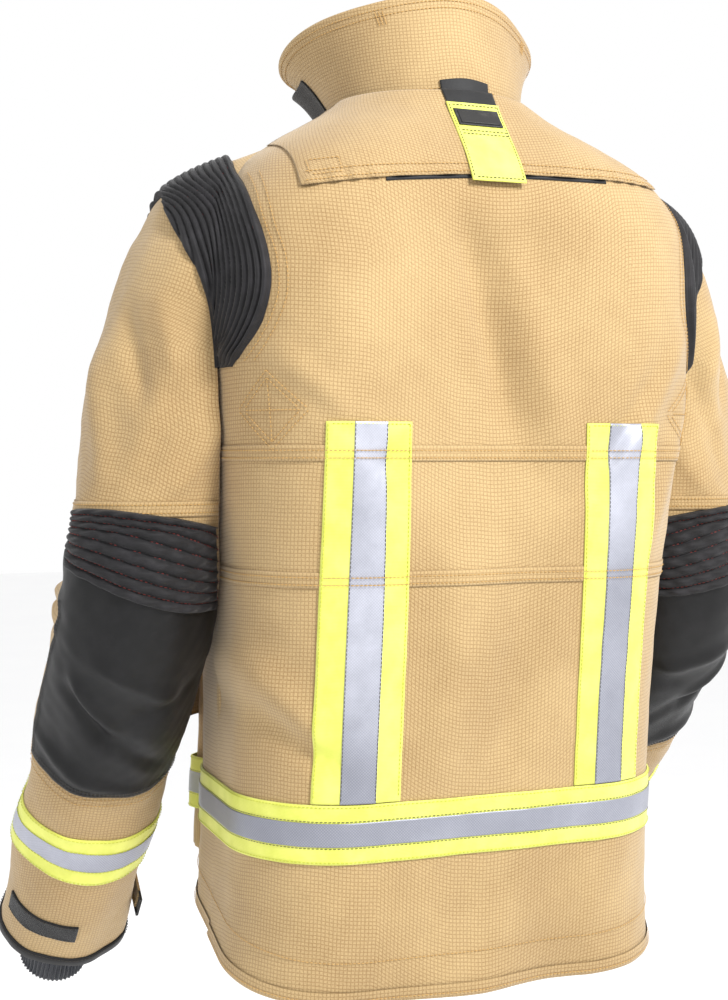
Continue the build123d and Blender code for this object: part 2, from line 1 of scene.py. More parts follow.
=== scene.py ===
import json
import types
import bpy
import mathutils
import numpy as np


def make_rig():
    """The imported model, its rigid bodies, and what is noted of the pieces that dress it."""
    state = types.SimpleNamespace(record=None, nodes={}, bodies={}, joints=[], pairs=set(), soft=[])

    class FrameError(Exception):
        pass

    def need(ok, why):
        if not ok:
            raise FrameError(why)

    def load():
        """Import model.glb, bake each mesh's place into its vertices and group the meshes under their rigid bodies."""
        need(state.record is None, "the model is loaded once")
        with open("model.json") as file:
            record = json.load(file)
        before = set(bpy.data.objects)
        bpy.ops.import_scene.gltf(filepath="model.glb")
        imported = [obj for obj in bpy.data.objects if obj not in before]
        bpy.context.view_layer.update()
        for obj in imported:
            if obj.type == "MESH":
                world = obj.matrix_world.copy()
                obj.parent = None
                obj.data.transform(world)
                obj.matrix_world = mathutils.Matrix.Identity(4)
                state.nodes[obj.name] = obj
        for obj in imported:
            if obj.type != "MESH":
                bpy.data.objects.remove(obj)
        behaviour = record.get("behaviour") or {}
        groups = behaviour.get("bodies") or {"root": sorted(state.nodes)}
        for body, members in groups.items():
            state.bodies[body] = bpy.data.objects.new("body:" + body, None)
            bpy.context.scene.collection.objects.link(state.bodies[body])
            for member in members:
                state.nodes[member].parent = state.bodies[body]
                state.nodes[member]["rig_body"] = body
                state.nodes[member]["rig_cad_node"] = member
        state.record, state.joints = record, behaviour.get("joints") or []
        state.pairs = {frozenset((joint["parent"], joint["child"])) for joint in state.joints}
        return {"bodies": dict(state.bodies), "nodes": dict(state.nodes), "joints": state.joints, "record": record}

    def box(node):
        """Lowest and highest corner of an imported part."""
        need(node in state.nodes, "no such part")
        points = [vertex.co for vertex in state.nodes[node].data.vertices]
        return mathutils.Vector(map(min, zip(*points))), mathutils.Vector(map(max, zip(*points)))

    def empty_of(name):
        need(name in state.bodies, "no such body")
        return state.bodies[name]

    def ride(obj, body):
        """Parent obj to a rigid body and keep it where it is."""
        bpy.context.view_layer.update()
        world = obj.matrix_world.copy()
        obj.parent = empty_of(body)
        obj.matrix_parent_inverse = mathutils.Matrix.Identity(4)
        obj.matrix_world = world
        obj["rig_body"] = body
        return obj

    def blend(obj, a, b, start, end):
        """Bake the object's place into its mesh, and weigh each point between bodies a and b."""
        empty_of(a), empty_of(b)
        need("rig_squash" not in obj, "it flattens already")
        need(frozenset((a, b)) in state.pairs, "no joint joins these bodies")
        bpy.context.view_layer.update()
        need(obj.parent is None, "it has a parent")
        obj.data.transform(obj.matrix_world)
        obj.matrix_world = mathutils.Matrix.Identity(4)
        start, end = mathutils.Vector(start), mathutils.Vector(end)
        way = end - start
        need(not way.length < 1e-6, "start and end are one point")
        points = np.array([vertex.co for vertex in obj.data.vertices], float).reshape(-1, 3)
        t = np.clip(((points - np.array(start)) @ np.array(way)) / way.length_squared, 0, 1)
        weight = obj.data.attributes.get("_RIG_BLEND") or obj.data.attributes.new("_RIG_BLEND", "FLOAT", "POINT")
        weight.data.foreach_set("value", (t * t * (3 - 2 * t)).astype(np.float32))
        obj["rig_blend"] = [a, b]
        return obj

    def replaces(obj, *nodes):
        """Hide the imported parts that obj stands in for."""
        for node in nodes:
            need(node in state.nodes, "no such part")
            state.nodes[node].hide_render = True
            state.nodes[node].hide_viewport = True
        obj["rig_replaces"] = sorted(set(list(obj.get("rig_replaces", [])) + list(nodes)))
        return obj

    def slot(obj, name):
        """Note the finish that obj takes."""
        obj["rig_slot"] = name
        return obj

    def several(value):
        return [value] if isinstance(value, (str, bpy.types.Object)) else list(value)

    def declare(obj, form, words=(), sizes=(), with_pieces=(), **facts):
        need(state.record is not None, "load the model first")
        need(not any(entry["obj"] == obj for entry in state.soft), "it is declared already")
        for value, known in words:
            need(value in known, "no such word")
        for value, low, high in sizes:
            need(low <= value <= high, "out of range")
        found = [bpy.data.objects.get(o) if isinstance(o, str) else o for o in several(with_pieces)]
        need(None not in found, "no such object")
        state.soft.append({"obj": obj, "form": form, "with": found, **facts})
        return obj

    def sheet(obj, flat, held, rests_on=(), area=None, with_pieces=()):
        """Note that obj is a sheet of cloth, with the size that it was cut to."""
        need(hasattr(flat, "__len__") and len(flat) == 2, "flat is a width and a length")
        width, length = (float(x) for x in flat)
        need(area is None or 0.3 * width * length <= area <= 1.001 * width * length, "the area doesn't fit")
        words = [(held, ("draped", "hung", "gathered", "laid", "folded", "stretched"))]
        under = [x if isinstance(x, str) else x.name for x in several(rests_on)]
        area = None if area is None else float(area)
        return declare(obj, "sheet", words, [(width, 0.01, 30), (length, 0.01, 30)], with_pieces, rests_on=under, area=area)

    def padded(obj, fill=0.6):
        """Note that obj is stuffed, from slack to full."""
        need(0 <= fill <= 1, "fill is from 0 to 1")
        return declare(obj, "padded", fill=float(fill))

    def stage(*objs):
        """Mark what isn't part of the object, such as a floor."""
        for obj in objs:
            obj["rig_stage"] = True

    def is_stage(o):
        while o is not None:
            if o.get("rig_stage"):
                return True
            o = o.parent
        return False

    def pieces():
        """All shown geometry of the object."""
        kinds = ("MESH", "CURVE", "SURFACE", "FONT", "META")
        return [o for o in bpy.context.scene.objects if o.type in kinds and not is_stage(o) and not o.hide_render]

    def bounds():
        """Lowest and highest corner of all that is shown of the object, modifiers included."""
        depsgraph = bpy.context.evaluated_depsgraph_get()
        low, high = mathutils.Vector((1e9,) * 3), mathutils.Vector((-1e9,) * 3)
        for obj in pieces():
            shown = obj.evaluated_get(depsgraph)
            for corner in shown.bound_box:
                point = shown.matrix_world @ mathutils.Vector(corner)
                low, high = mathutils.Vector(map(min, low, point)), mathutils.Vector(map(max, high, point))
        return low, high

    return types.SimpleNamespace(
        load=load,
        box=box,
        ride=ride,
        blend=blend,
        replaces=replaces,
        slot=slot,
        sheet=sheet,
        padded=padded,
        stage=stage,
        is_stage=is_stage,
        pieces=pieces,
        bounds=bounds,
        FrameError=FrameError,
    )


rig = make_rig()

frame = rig.load()

import json
import math

import bpy
import numpy as np
from mathutils import Vector
from mathutils.bvhtree import BVHTree

CAD_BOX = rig.bounds()

# Metres, in the CAD frame: +Z up, front of the coat towards -Y, wearer's left towards +X.
SIDES = (("left", 1), ("right", -1))
SIGN = dict(SIDES)

# ------------------------------------------------------------------ the coat's form
# Body sections: height, half width, half depth, corner radius, centre depth (as in the CAD).
BODY = np.array([
    (0.000, 0.090, 0.100, 0.084, 0.000),
    (-0.020, 0.116, 0.108, 0.090, 0.006),
    (-0.045, 0.158, 0.118, 0.096, 0.018),
    (-0.070, 0.192, 0.128, 0.100, 0.028),
    (-0.100, 0.214, 0.137, 0.102, 0.033),
    (-0.150, 0.226, 0.146, 0.105, 0.034),
    (-0.220, 0.226, 0.150, 0.105, 0.033),
    (-0.290, 0.221, 0.151, 0.105, 0.030),
    (-0.370, 0.213, 0.152, 0.105, 0.024),
    (-0.450, 0.206, 0.152, 0.105, 0.016),
    (-0.530, 0.204, 0.151, 0.105, 0.007),
    (-0.620, 0.203, 0.150, 0.105, -0.002),
    (-0.815, 0.206, 0.150, 0.105, -0.018),
])[::-1]
FLAT_SHARE, ARC_SHARE = 0.33, 0.86        # of a quarter turn: flat back, then corner
FRONT_ANGLE = math.radians(5.7)
FRONT_LEAN = math.tan(FRONT_ANGLE)
FRONT_TOP_Y, FRONT_TOP_Z = -0.097, -0.090
HEM_BACK_Y, HEM_BACK_Z, HEM_RISE = 0.132, -0.800, math.tan(math.radians(11.4))
FRONT_GAP = 0.009                         # front edges stop here, beside the zip

# Upper sleeve sections: height, centre x, centre y, half width, half depth.
UPPER = np.array([
    (-0.052, 0.150, 0.012, 0.020, 0.034),
    (-0.085, 0.184, 0.015, 0.058, 0.062),
    (-0.135, 0.205, 0.018, 0.074, 0.078),
    (-0.230, 0.236, 0.014, 0.076, 0.078),
    (-0.395, 0.268, 0.004, 0.070, 0.072),
])[::-1]
ELBOW = {side: np.array((sign * 0.278, 0.0, -0.470)) for side, sign in SIDES}
CUFF = {"left": np.array((0.308, -0.225, -0.800)), "right": np.array((-0.280, -0.275, -0.785))}
BEND_ABOVE, BEND_BELOW = 0.075, 0.025     # the elbow bend, above and below the elbow point
FOREARM_RADIUS, CUFF_RADIUS = 0.069, 0.061


def smooth_curve(xs, ys, x):
    """Smooth curve through a few points, evaluated at x."""
    x = np.clip(x, xs[0], xs[-1])
    slopes = np.gradient(ys, xs)
    k = np.clip(np.searchsorted(xs, x) - 1, 0, len(xs) - 2)
    span = xs[k + 1] - xs[k]
    t = (x - xs[k]) / span
    return (
        (1 + 2 * t) * (1 - t) ** 2 * ys[k]
        + t * (1 - t) ** 2 * span * slopes[k]
        + t * t * (3 - 2 * t) * ys[k + 1]
        + t * t * (t - 1) * span * slopes[k + 1]
    )


def sections(table, x):
    """The smooth curves through a table's columns, at a value of its first one."""
    return [smooth_curve(table[:, 0], column, x) for column in table.T[1:]]


def ramp(x, low, high):
    """0 below low, 1 above high, smooth between."""
    t = np.clip((x - low) / (high - low), 0, 1)
    return t * t * (3 - 2 * t)


def hump(x, middle, width):
    """A soft bump of height 1."""
    return np.exp(-(((x - middle) / width) ** 2))


def make_ripple(count, shortest, longest, seed):
    """A smooth, uneven surface made of a few long waves; height about 1."""
    draw = np.random.default_rng(seed)
    lengths = draw.uniform(shortest, longest, count)
    turns = draw.uniform(0, 2 * math.pi, count)
    phases = draw.uniform(0, 2 * math.pi, count)

    def ripple(a, b):
        total = 0
        for length, turn, phase in zip(lengths, turns, phases):
            total = total + np.sin(
                2 * math.pi * (a * math.cos(turn) + b * math.sin(turn)) / length + phase
            )
        return total / math.sqrt(count)

    return ripple


def crease(a, b, start, end, width):
    """A soft ridge of height 1 along the line from start to end."""
    start, end = np.array(start), np.array(end)
    along = end - start
    length = math.hypot(*along)
    along = along / length
    da, db = a - start[0], b - start[1]
    run = da * along[0] + db * along[1]
    off = -da * along[1] + db * along[0]
    ends = ramp(run, -0.25 * length, 0.25 * length) * (1 - ramp(run, 0.75 * length, 1.25 * length))
    return np.exp(-((off / width) ** 2)) * ends


# --- body
body_ripple = make_ripple(9, 0.10, 0.32, 3)
body_fine = make_ripple(12, 0.018, 0.06, 5)


# Creases, as height, start, end and width: by x and z on the body, by arc and s on a sleeve.
BACK_CREASES = (
    (-0.0045, (0.030, -0.13), (-0.018, -0.30), 0.016),
    (0.0040, (-0.010, -0.14), (-0.060, -0.32), 0.020),
    (0.0035, (-0.185, -0.225), (-0.115, -0.335), 0.013),
    (-0.0035, (-0.165, -0.245), (-0.090, -0.350), 0.012),
    (0.0030, (-0.200, -0.270), (-0.160, -0.400), 0.012),
    (0.0035, (0.190, -0.245), (0.120, -0.330), 0.014),
    (-0.0030, (0.175, -0.275), (0.095, -0.345), 0.012),
    (0.0040, (0.205, -0.500), (0.150, -0.575), 0.014),
    (-0.0035, (0.200, -0.545), (0.130, -0.600), 0.014),
    (0.0028, (0.035, -0.40), (0.045, -0.60), 0.026),
    (-0.0028, (-0.030, -0.42), (-0.020, -0.60), 0.022),
)
FRONT_CREASES = (
    (0.0035, (0.17, -0.24), (0.06, -0.36), 0.02),
    (0.0035, (-0.17, -0.24), (-0.06, -0.36), 0.02),
)
UPPER_CREASES = (
    (0.0050, (0.055, -0.300), (0.100, -0.205), 0.011),
    (-0.0050, (0.028, -0.280), (0.072, -0.190), 0.011),
    (0.0035, (0.010, -0.230), (0.050, -0.110), 0.013),
    (-0.0035, (0.110, -0.215), (0.080, -0.110), 0.013),
    (0.0035, (0.150, -0.180), (0.110, -0.100), 0.014),
)
PATCH_CREASES = (
    (0.0042, (0.050, 0.040), (0.100, 0.085), 0.007),
    (-0.0042, (0.045, 0.052), (0.095, 0.100), 0.008),
    (0.0036, (0.070, 0.010), (0.150, 0.045), 0.009),
    (-0.0030, (0.075, 0.075), (0.150, 0.125), 0.009),
    (0.0034, (0.020, 0.135), (0.130, 0.158), 0.008),
    (-0.0028, (0.110, 0.060), (0.170, 0.040), 0.010),
)
BODY_FOLDS = 1.75                         # how deep the worn folds are, as seen in the photo


def creased(depth, a, b, table):
    for height, start, end, width in table:
        depth = depth + height * crease(a, b, start, end, width)
    return depth


def body_folds(x, y, z, back):
    """How far the worn cloth stands off its form, from its hang and its creases."""
    depth = 0.0011 * body_ripple(x * 1.6, z * 0.55) + 0.00022 * body_fine(x, z)
    hollow = -0.010 * hump(x, 0.0, 0.075) * ramp(z, -0.50, -0.28) * (1 - ramp(z, -0.17, -0.09))
    behind = creased(hollow, x, z, BACK_CREASES)
    behind = behind + 0.0040 * hump(z, -0.815, 0.05) * np.sin(x * 34 + 1.0)
    return depth + BODY_FOLDS * np.where(back, behind, creased(0, x, z, FRONT_CREASES))


def body_point(t, z, lift=0.0, folds=True):
    """Point of the body: t is 0 at the back's middle, 2 at the front's, + on the wearer's left."""
    t, z = np.broadcast_arrays(np.asarray(t, float), np.asarray(z, float))
    half_width, half_depth, radius, centre_y = sections(BODY, z)
    a = np.abs(t)
    back = a <= 1
    q = np.where(back, a, 2 - a)
    turn = np.clip((q - FLAT_SHARE) / (ARC_SHARE - FLAT_SHARE), 0, 1) * math.pi / 2
    x = (half_width - radius) * np.clip(q / FLAT_SHARE, 0, 1) + radius * np.sin(turn)
    y = (half_depth - radius) * np.clip((1 - q) / (1 - ARC_SHARE), 0, 1) + radius * np.cos(turn)
    # outward direction of the section
    nx, ny = np.sin(turn), np.cos(turn)
    sign = np.sign(t)
    x, nx = x * sign, nx * sign
    y, ny = np.where(back, y, -y) + centre_y, np.where(back, ny, -ny)
    grow = lift
    if folds:
        grow = grow + body_folds(x, y, z, back)
    front = FRONT_TOP_Y + (z - FRONT_TOP_Z) * FRONT_LEAN
    y = np.where(back, y, np.maximum(y, front))
    return np.stack([x + nx * grow, y + ny * grow, z], -1)


def t_of_x(x, z, front=False):
    """Where the body's section has a given x, on the back or the front."""
    half_width, _, radius, _ = sections(BODY, np.asarray(z, float))
    a = np.abs(np.asarray(x, float))
    flat = half_width - radius
    arc = np.arcsin(np.clip((a - flat) / radius, 0, 1)) / (math.pi / 2)
    q = np.where(a < flat, a / flat * FLAT_SHARE, FLAT_SHARE + arc * (ARC_SHARE - FLAT_SHARE))
    q = np.where(front, 2 - q, q)
    return q * np.sign(x)


def body_distance(x, y, z):
    """Distance outside the body's section, negative inside."""
    half_width, half_depth, radius, centre_y = sections(BODY, z)
    p = np.abs(x) - (half_width - radius)
    q = np.abs(y - centre_y) - (half_depth - radius)
    corner = np.hypot(np.maximum(p, 0), np.maximum(q, 0)) + np.minimum(np.maximum(p, q), 0)
    front = FRONT_TOP_Y + (z - FRONT_TOP_Z) * FRONT_LEAN - y
    return np.maximum(corner - radius, front)


def hem_height(y):
    return HEM_BACK_Z + (HEM_BACK_Y - y) * HEM_RISE


# --- sleeves: s runs down the arm from the elbow point, turn 0 is outward, 90 degrees the back
def arm_axes(side):
    run = CUFF[side] - ELBOW[side]
    length = np.linalg.norm(run)
    down = run / length
    across = np.array((1.0, 0, 0)) - down * down[0]
    across = across / np.linalg.norm(across)
    return down, across * SIGN[side], np.cross(-down, across), length


ARM = {side: arm_axes(side) for side, _ in SIDES}
sleeve_ripple = {"left": make_ripple(8, 0.07, 0.20, 11), "right": make_ripple(8, 0.07, 0.20, 12)}
sleeve_fine = make_ripple(10, 0.015, 0.05, 13)


TURN_FROM = -1.745                        # the folds run from here, once round


def sleeve_folds(side, s, turn):
    """Worn creases of the sleeve; turn in radians."""
    turn = (turn - TURN_FROM) % (2 * math.pi) + TURN_FROM
    ends = ramp(turn, TURN_FROM, -1.2) * (1 - ramp(turn, 4.0, 4.538))
    arc = turn * 0.072
    depth = 0.0016 * sleeve_ripple[side](arc * 1.2, s * 0.7) + 0.00022 * sleeve_fine(arc, s)
    bend = hump(s, -0.02, 0.055)
    inner = hump(np.cos(turn + math.pi / 2), 1.0, 0.8)
    depth = depth + 0.0050 * bend * inner * np.sin((s + 0.15 * arc) * 2 * math.pi / 0.034)
    up = ramp(s, -0.30, -0.24) * (1 - ramp(s, -0.12, -0.085))
    depth = depth + up * creased(0, arc, s, UPPER_CREASES)
    patch = ramp(s, -0.02, 0.02) * (1 - ramp(s, 0.15, 0.18))
    depth = depth + patch * creased(0, arc, s, PATCH_CREASES)
    low = ramp(s, 0.17, 0.20)
    depth = depth + low * 0.0018 * np.sin(turn * 3 + s * 30)
    # shallower near the cuff, where the cuff tab lies close to the cloth
    return depth * ends * (1.3 - 0.3 * low)


def sleeve_point(side, s, turn, lift=0.0, folds=True):
    """Point of a sleeve, from the shoulder to the cuff."""
    s, turn = np.broadcast_arrays(np.asarray(s, float), np.asarray(turn, float))
    sign = SIGN[side]
    down, outward, back, length = ARM[side]
    elbow = ELBOW[side]
    grow = np.zeros_like(s) + lift
    if folds:
        grow = grow + sleeve_folds(side, s, turn)
    cos, sin = np.cos(turn), np.sin(turn)
    # upper sleeve, in level sections
    z = elbow[2] - s
    cx, cy, rx, ry = sections(UPPER, z)
    upper = np.stack([sign * (cx + (rx + grow) * cos), cy + (ry + grow) * sin, z], -1)
    # the bend
    t = np.clip((s + BEND_ABOVE) / (BEND_ABOVE + BEND_BELOW), 0, 1)
    first = np.array((sign * UPPER[0, 1], UPPER[0, 2], UPPER[0, 0]))
    last = elbow + down * BEND_BELOW
    t3 = t[..., None]
    centre = first * (1 - t3) ** 2 + elbow * 2 * t3 * (1 - t3) + last * t3**2
    normal = np.array((0, 0, 1.0)) * (1 - t3) - down * t3
    normal = normal / np.linalg.norm(normal, axis=-1, keepdims=True)
    out = np.array((sign * 1.0, 0, 0)) - normal * normal[..., :1] * sign
    out = out / np.linalg.norm(out, axis=-1, keepdims=True)
    rear = np.cross(normal, out) * sign
    end_radius = FOREARM_RADIUS + (CUFF_RADIUS - FOREARM_RADIUS) * BEND_BELOW / length
    bx = UPPER[0, 3] * (1 - t) + end_radius * t + grow
    by = UPPER[0, 4] * (1 - t) + end_radius * t + grow
    bend = centre + out * (bx * cos)[..., None] + rear * (by * sin)[..., None]
    # forearm
    radius = FOREARM_RADIUS + (CUFF_RADIUS - FOREARM_RADIUS) * s / length + grow
    fore = elbow + down * s[..., None]
    fore = fore + outward * (radius * cos)[..., None] + back * (radius * sin)[..., None]
    lower = np.where((s < BEND_BELOW)[..., None], bend, fore)
    point = np.where((s < -BEND_ABOVE)[..., None], upper, lower)
    # where the sleeve lies against the body, it follows the body's side
    inside = body_distance(point[..., 0], point[..., 1], point[..., 2]) - 0.003 - np.maximum(lift, 0)
    push = np.where(inside < 0, -inside, 0) * ramp(-point[..., 2], 0.190, 0.255)
    point[..., 0] = point[..., 0] + sign * push
    return point


# ------------------------------------------------------------------ meshes
def grid_faces(rows, cols, flip=False):
    r = np.arange(rows - 1)[:, None] * cols
    c = np.arange(cols - 1)[None, :]
    quad = [r + c, r + c + 1, r + cols + c + 1, r + cols + c]
    if flip:
        quad = quad[::-1]
    return np.stack(quad, -1).reshape(-1, 4)


def make_object(name, points, faces, uv, material):
    """A mesh object from arrays, with its cloth coordinates in metres."""
    points = np.asarray(points, float).reshape(-1, 3)
    mesh = bpy.data.meshes.new(name)
    mesh.from_pydata(points.tolist(), [], np.asarray(faces).tolist())
    layer = mesh.uv_layers.new(name="cloth")
    loops = np.zeros(len(mesh.loops), int)
    mesh.loops.foreach_get("vertex_index", loops)
    layer.data.foreach_set("uv", np.asarray(uv, float).reshape(-1, 2)[loops].ravel())
    mesh.polygons.foreach_set("use_smooth", np.ones(len(mesh.polygons), bool))
    mesh.materials.append(material)
    mesh.update()
    thing = bpy.data.objects.new(name, mesh)
    bpy.context.scene.collection.objects.link(thing)
    return thing


def make_grid(name, points, material, flip, settle, *nodes, keep=None, uv=None):
    """A sheet from a grid of points, settled on its bodies, standing for the CAD nodes named.
    keep(points) may drop faces."""
    faces = grid_faces(*points.shape[:2], flip)
    uv = (cloth_uv(points) if uv is None else uv).reshape(-1, 2)
    points = points.reshape(-1, 3)
    if keep is not None:
        faces = faces[keep(points[faces].mean(1))]
        used = np.unique(faces)
        place = np.full(len(points), -1)
        place[used] = np.arange(len(used))
        points, faces, uv = points[used], place[faces], uv[used]
    thing = make_object(name, points, faces, uv, material)
    settle(thing)
    if nodes:
        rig.replaces(thing, *nodes)
    return thing


def cloth_uv(points):
    """Cloth coordinates of a grid: distance across from its middle column, distance down."""
    across = np.linalg.norm(np.diff(points, axis=1), axis=-1)
    u = np.concatenate([np.zeros((len(points), 1)), np.cumsum(across, 1)], 1)
    down = np.linalg.norm(np.diff(points, axis=0), axis=-1)
    v = np.concatenate([np.zeros((1, points.shape[1])), np.cumsum(down, 0)], 0)
    return np.stack([u - u[:, [u.shape[1] // 2]], v], -1)


def widen(grid, by):
    """The grid with its outer rows and columns repeated, to be moved into a rim."""
    return np.pad(grid, ((by, by), (by, by), (0, 0)), mode="edge")


def set_ring(grid, other, k):
    """Moves the ring of points k steps in from the edge to where the other grid has it."""
    for ring in (k, -1 - k):
        grid[ring, :] = other[ring, :]
    for ring in (k, -1 - k):
        grid[:, ring] = other[:, ring]


def spread(values):
    """A line of numbers, given as it is or as (from, to, count)."""
    return np.linspace(*values) if isinstance(values, tuple) else values


def lay_on(name, surface, a, b, low, high, material, flip, settle, *nodes):
    """Cloth laid on a surface: its top at `high`, its edges turned down to `low`."""
    a, b = np.meshgrid(spread(a), spread(b))
    top = surface(a, b, high)
    points = widen(top, 2)
    set_ring(points, widen(surface(a, b, high - min(0.0004, (high - low) / 3)), 2), 1)
    set_ring(points, widen(surface(a, b, low), 2), 0)
    return make_grid(name, points, material, flip, settle, *nodes, uv=widen(cloth_uv(top), 2))


# --- thread
STITCH, STITCH_GAP, THREAD = 0.0028, 0.0009, 0.00042


class Seams:
    """Collects stitches that share a body and a thread, and makes one mesh of them."""

    def __init__(self, name, material, settle):
        self.name, self.material, self.settle = name, material, settle
        self.points, self.faces = [], []

    def sew(self, surface, a, b, lift, stitch=STITCH, gap=STITCH_GAP, thread=THREAD):
        """Stitches along a line of the surface."""
        a, b = (np.asarray(spread(v), float) for v in (a, b))
        a, b = np.broadcast_arrays(a, b)
        line = surface(a, b, lift)
        above = surface(a, b, lift + 0.001) - line
        run = np.concatenate([[0], np.cumsum(np.linalg.norm(np.diff(line, axis=0), axis=1))])
        count = int(run[-1] / (stitch + gap))
        if count < 1:
            return
        starts = np.arange(count) * (stitch + gap)
        at = lambda d, grid: np.stack([np.interp(d, run, grid[:, k]) for k in range(3)], -1)
        ups = at(starts + stitch / 2, above)
        ups /= np.linalg.norm(ups, axis=1, keepdims=True)
        heads, tails = at(starts, line), at(starts + stitch, line)
        ways = tails - heads
        ways /= np.maximum(np.linalg.norm(ways, axis=1, keepdims=True), 1e-9)
        sides = np.cross(ways, ups)
        rings = []
        for share, size, height in ((0, 0.25, 0), (0.2, 1, 0.8), (0.8, 1, 0.8), (1, 0.25, 0)):
            centre = heads + (tails - heads) * share + ups * thread * height
            for side, up in ((1, 0), (0, 1), (-1, 0), (0, -0.8)):
                rings.append(centre + sides * side * thread * size + ups * up * thread * size)
        points = np.stack(rings, 1)
        pairs = [(r * 4 + k, r * 4 + (k + 1) % 4) for r in range(3) for k in range(4)]
        faces = [(p, n, n + 4, p + 4) for p, n in pairs]
        faces = np.array(faces + [(3, 2, 1, 0), (12, 13, 14, 15)])
        base = sum(len(p) for p in self.points)
        self.points.append(points.reshape(-1, 3))
        offsets = base + np.arange(count)[:, None, None] * 16
        self.faces.append((faces[None] + offsets).reshape(-1, 4))

    def finish(self):
        points = np.concatenate(self.points)
        faces = np.concatenate(self.faces)
        thing = make_object(self.name, points, faces, points[:, :2], self.material)
        self.settle(thing)
        return thing


# ------------------------------------------------------------------ materials
def srgb(r, g, b):
    channel = lambda c: c / 12.92 if c <= 0.04045 else ((c + 0.055) / 1.055) ** 2.4
    return (channel(r / 255), channel(g / 255), channel(b / 255), 1.0)


class Shader:
    """Small helper for building node materials."""

    def __init__(self, name):
        self.material = bpy.data.materials.new(name)
        self.material.use_nodes = True
        self.tree = self.material.node_tree
        self.surface = self.tree.nodes["Principled BSDF"]
        self.coords = self.tree.nodes.new("ShaderNodeUVMap")
        self.coords.uv_map = "cloth"
        self.object = self.tree.nodes.new("ShaderNodeTexCoord").outputs["Object"]

    def link(self, source, target):
        self.tree.links.new(source, target)

    def put(self, target, value):
        if isinstance(value, bpy.types.NodeSocket):
            self.link(value, target)
        else:
            target.default_value = value

    def math(self, operation, a, b=0.0, c=0.0):
        node = self.tree.nodes.new("ShaderNodeMath")
        node.operation = operation
        for socket, value in zip(node.inputs, (a, b, c)):
            self.put(socket, value)
        return node.outputs[0]

    def times(self, a, b):
        return self.math("MULTIPLY", a, b)

    def plus(self, a, b):
        return self.math("ADD", a, b)

    def split(self):
        node = self.tree.nodes.new("ShaderNodeSeparateXYZ")
        self.link(self.coords.outputs[0], node.inputs[0])
        return node.outputs[0], node.outputs[1]

    def noise(self, scale, detail=2.0, rough=0.5, where=None):
        node = self.tree.nodes.new("ShaderNodeTexNoise")
        self.link(where or self.object, node.inputs["Vector"])
        node.inputs["Scale"].default_value = scale
        node.inputs["Detail"].default_value = detail
        node.inputs["Roughness"].default_value = rough
        return node.outputs[0]

    def stretch(self, x, y):
        node = self.tree.nodes.new("ShaderNodeMapping")
        node.inputs["Scale"].default_value = (x, y, 1)
        self.link(self.coords.outputs[0], node.inputs["Vector"])
        return node.outputs[0]

    def span(self, value, low, high, to_low=0.0, to_high=1.0):
        node = self.tree.nodes.new("ShaderNodeMapRange")
        node.interpolation_type = "SMOOTHSTEP"
        self.put(node.inputs["Value"], value)
        numbers = {"From Min": low, "From Max": high, "To Min": to_low, "To Max": to_high}
        for name, number in numbers.items():
            node.inputs[name].default_value = number
        return node.outputs[0]

    def mix(self, share, a, b):
        node = self.tree.nodes.new("ShaderNodeMix")
        node.data_type = "RGBA"
        self.put(node.inputs[0], share)
        self.put(node.inputs[6], a)
        self.put(node.inputs[7], b)
        return node.outputs[2]

    def wave(self, coordinate, pitch):
        """0 to 1 and back, once per pitch."""
        turns = self.math("MULTIPLY", coordinate, 2 * math.pi / pitch)
        return self.math("MULTIPLY_ADD", self.math("COSINE", turns), 0.5, 0.5)

    def bump(self, height, distance, strength=1.0):
        node = self.tree.nodes.new("ShaderNodeBump")
        node.inputs["Strength"].default_value = strength
        node.inputs["Distance"].default_value = distance
        self.link(height, node.inputs["Height"])
        self.link(node.outputs[0], self.surface.inputs["Normal"])

    def finish(self, color, rough, metal=0.0, sheen=0.0, specular=0.5):
        self.put(self.surface.inputs["Base Color"], color)
        self.put(self.surface.inputs["Roughness"], rough)
        self.surface.inputs["Metallic"].default_value = metal
        self.surface.inputs["Sheen Weight"].default_value = sheen
        self.surface.inputs["Specular IOR Level"].default_value = specular
        return self.material


def ripstop(name, light, dark, grid=0.0034, contrast=0.34):
    """Plain woven aramid cloth with the raised ripstop grid, flecked two-tone yarn."""
    m = Shader(name)
    u, v = m.split()
    lines = m.math("MAXIMUM", m.span(m.wave(u, grid), 0.66, 1.0), m.span(m.wave(v, grid), 0.66, 1.0))
    weave = m.times(m.wave(u, 0.00052), m.wave(v, 0.00052))
    fleck = m.noise(1.0, 2.0, 0.6, m.stretch(2400, 420))
    fleck_down = m.noise(1.0, 2.0, 0.6, m.stretch(420, 2400))
    flecks = m.times(m.plus(fleck, fleck_down), 0.5)
    tone = m.math("MULTIPLY_ADD", lines, -contrast, m.span(flecks, 0.34, 0.66, 0.50, 0.92))
    broad = m.noise(7.0, 4.0, 0.6)
    tone = m.plus(tone, m.span(broad, 0.30, 0.72, -0.10, 0.12))
    color = m.mix(m.math("MINIMUM", m.math("MAXIMUM", tone, 0.0), 1.0), dark, light)
    worn = m.span(m.noise(26.0, 5.0, 0.7), 0.58, 0.80, 0.0, 0.28)
    color = m.mix(worn, color, srgb(150, 120, 82))
    height = m.plus(m.times(lines, 0.6), m.times(weave, 0.4))
    m.bump(height, 0.00022, 0.8)
    return m.finish(color, m.span(flecks, 0.3, 0.7, 0.66, 0.84), 0.0, 0.25, 0.3)


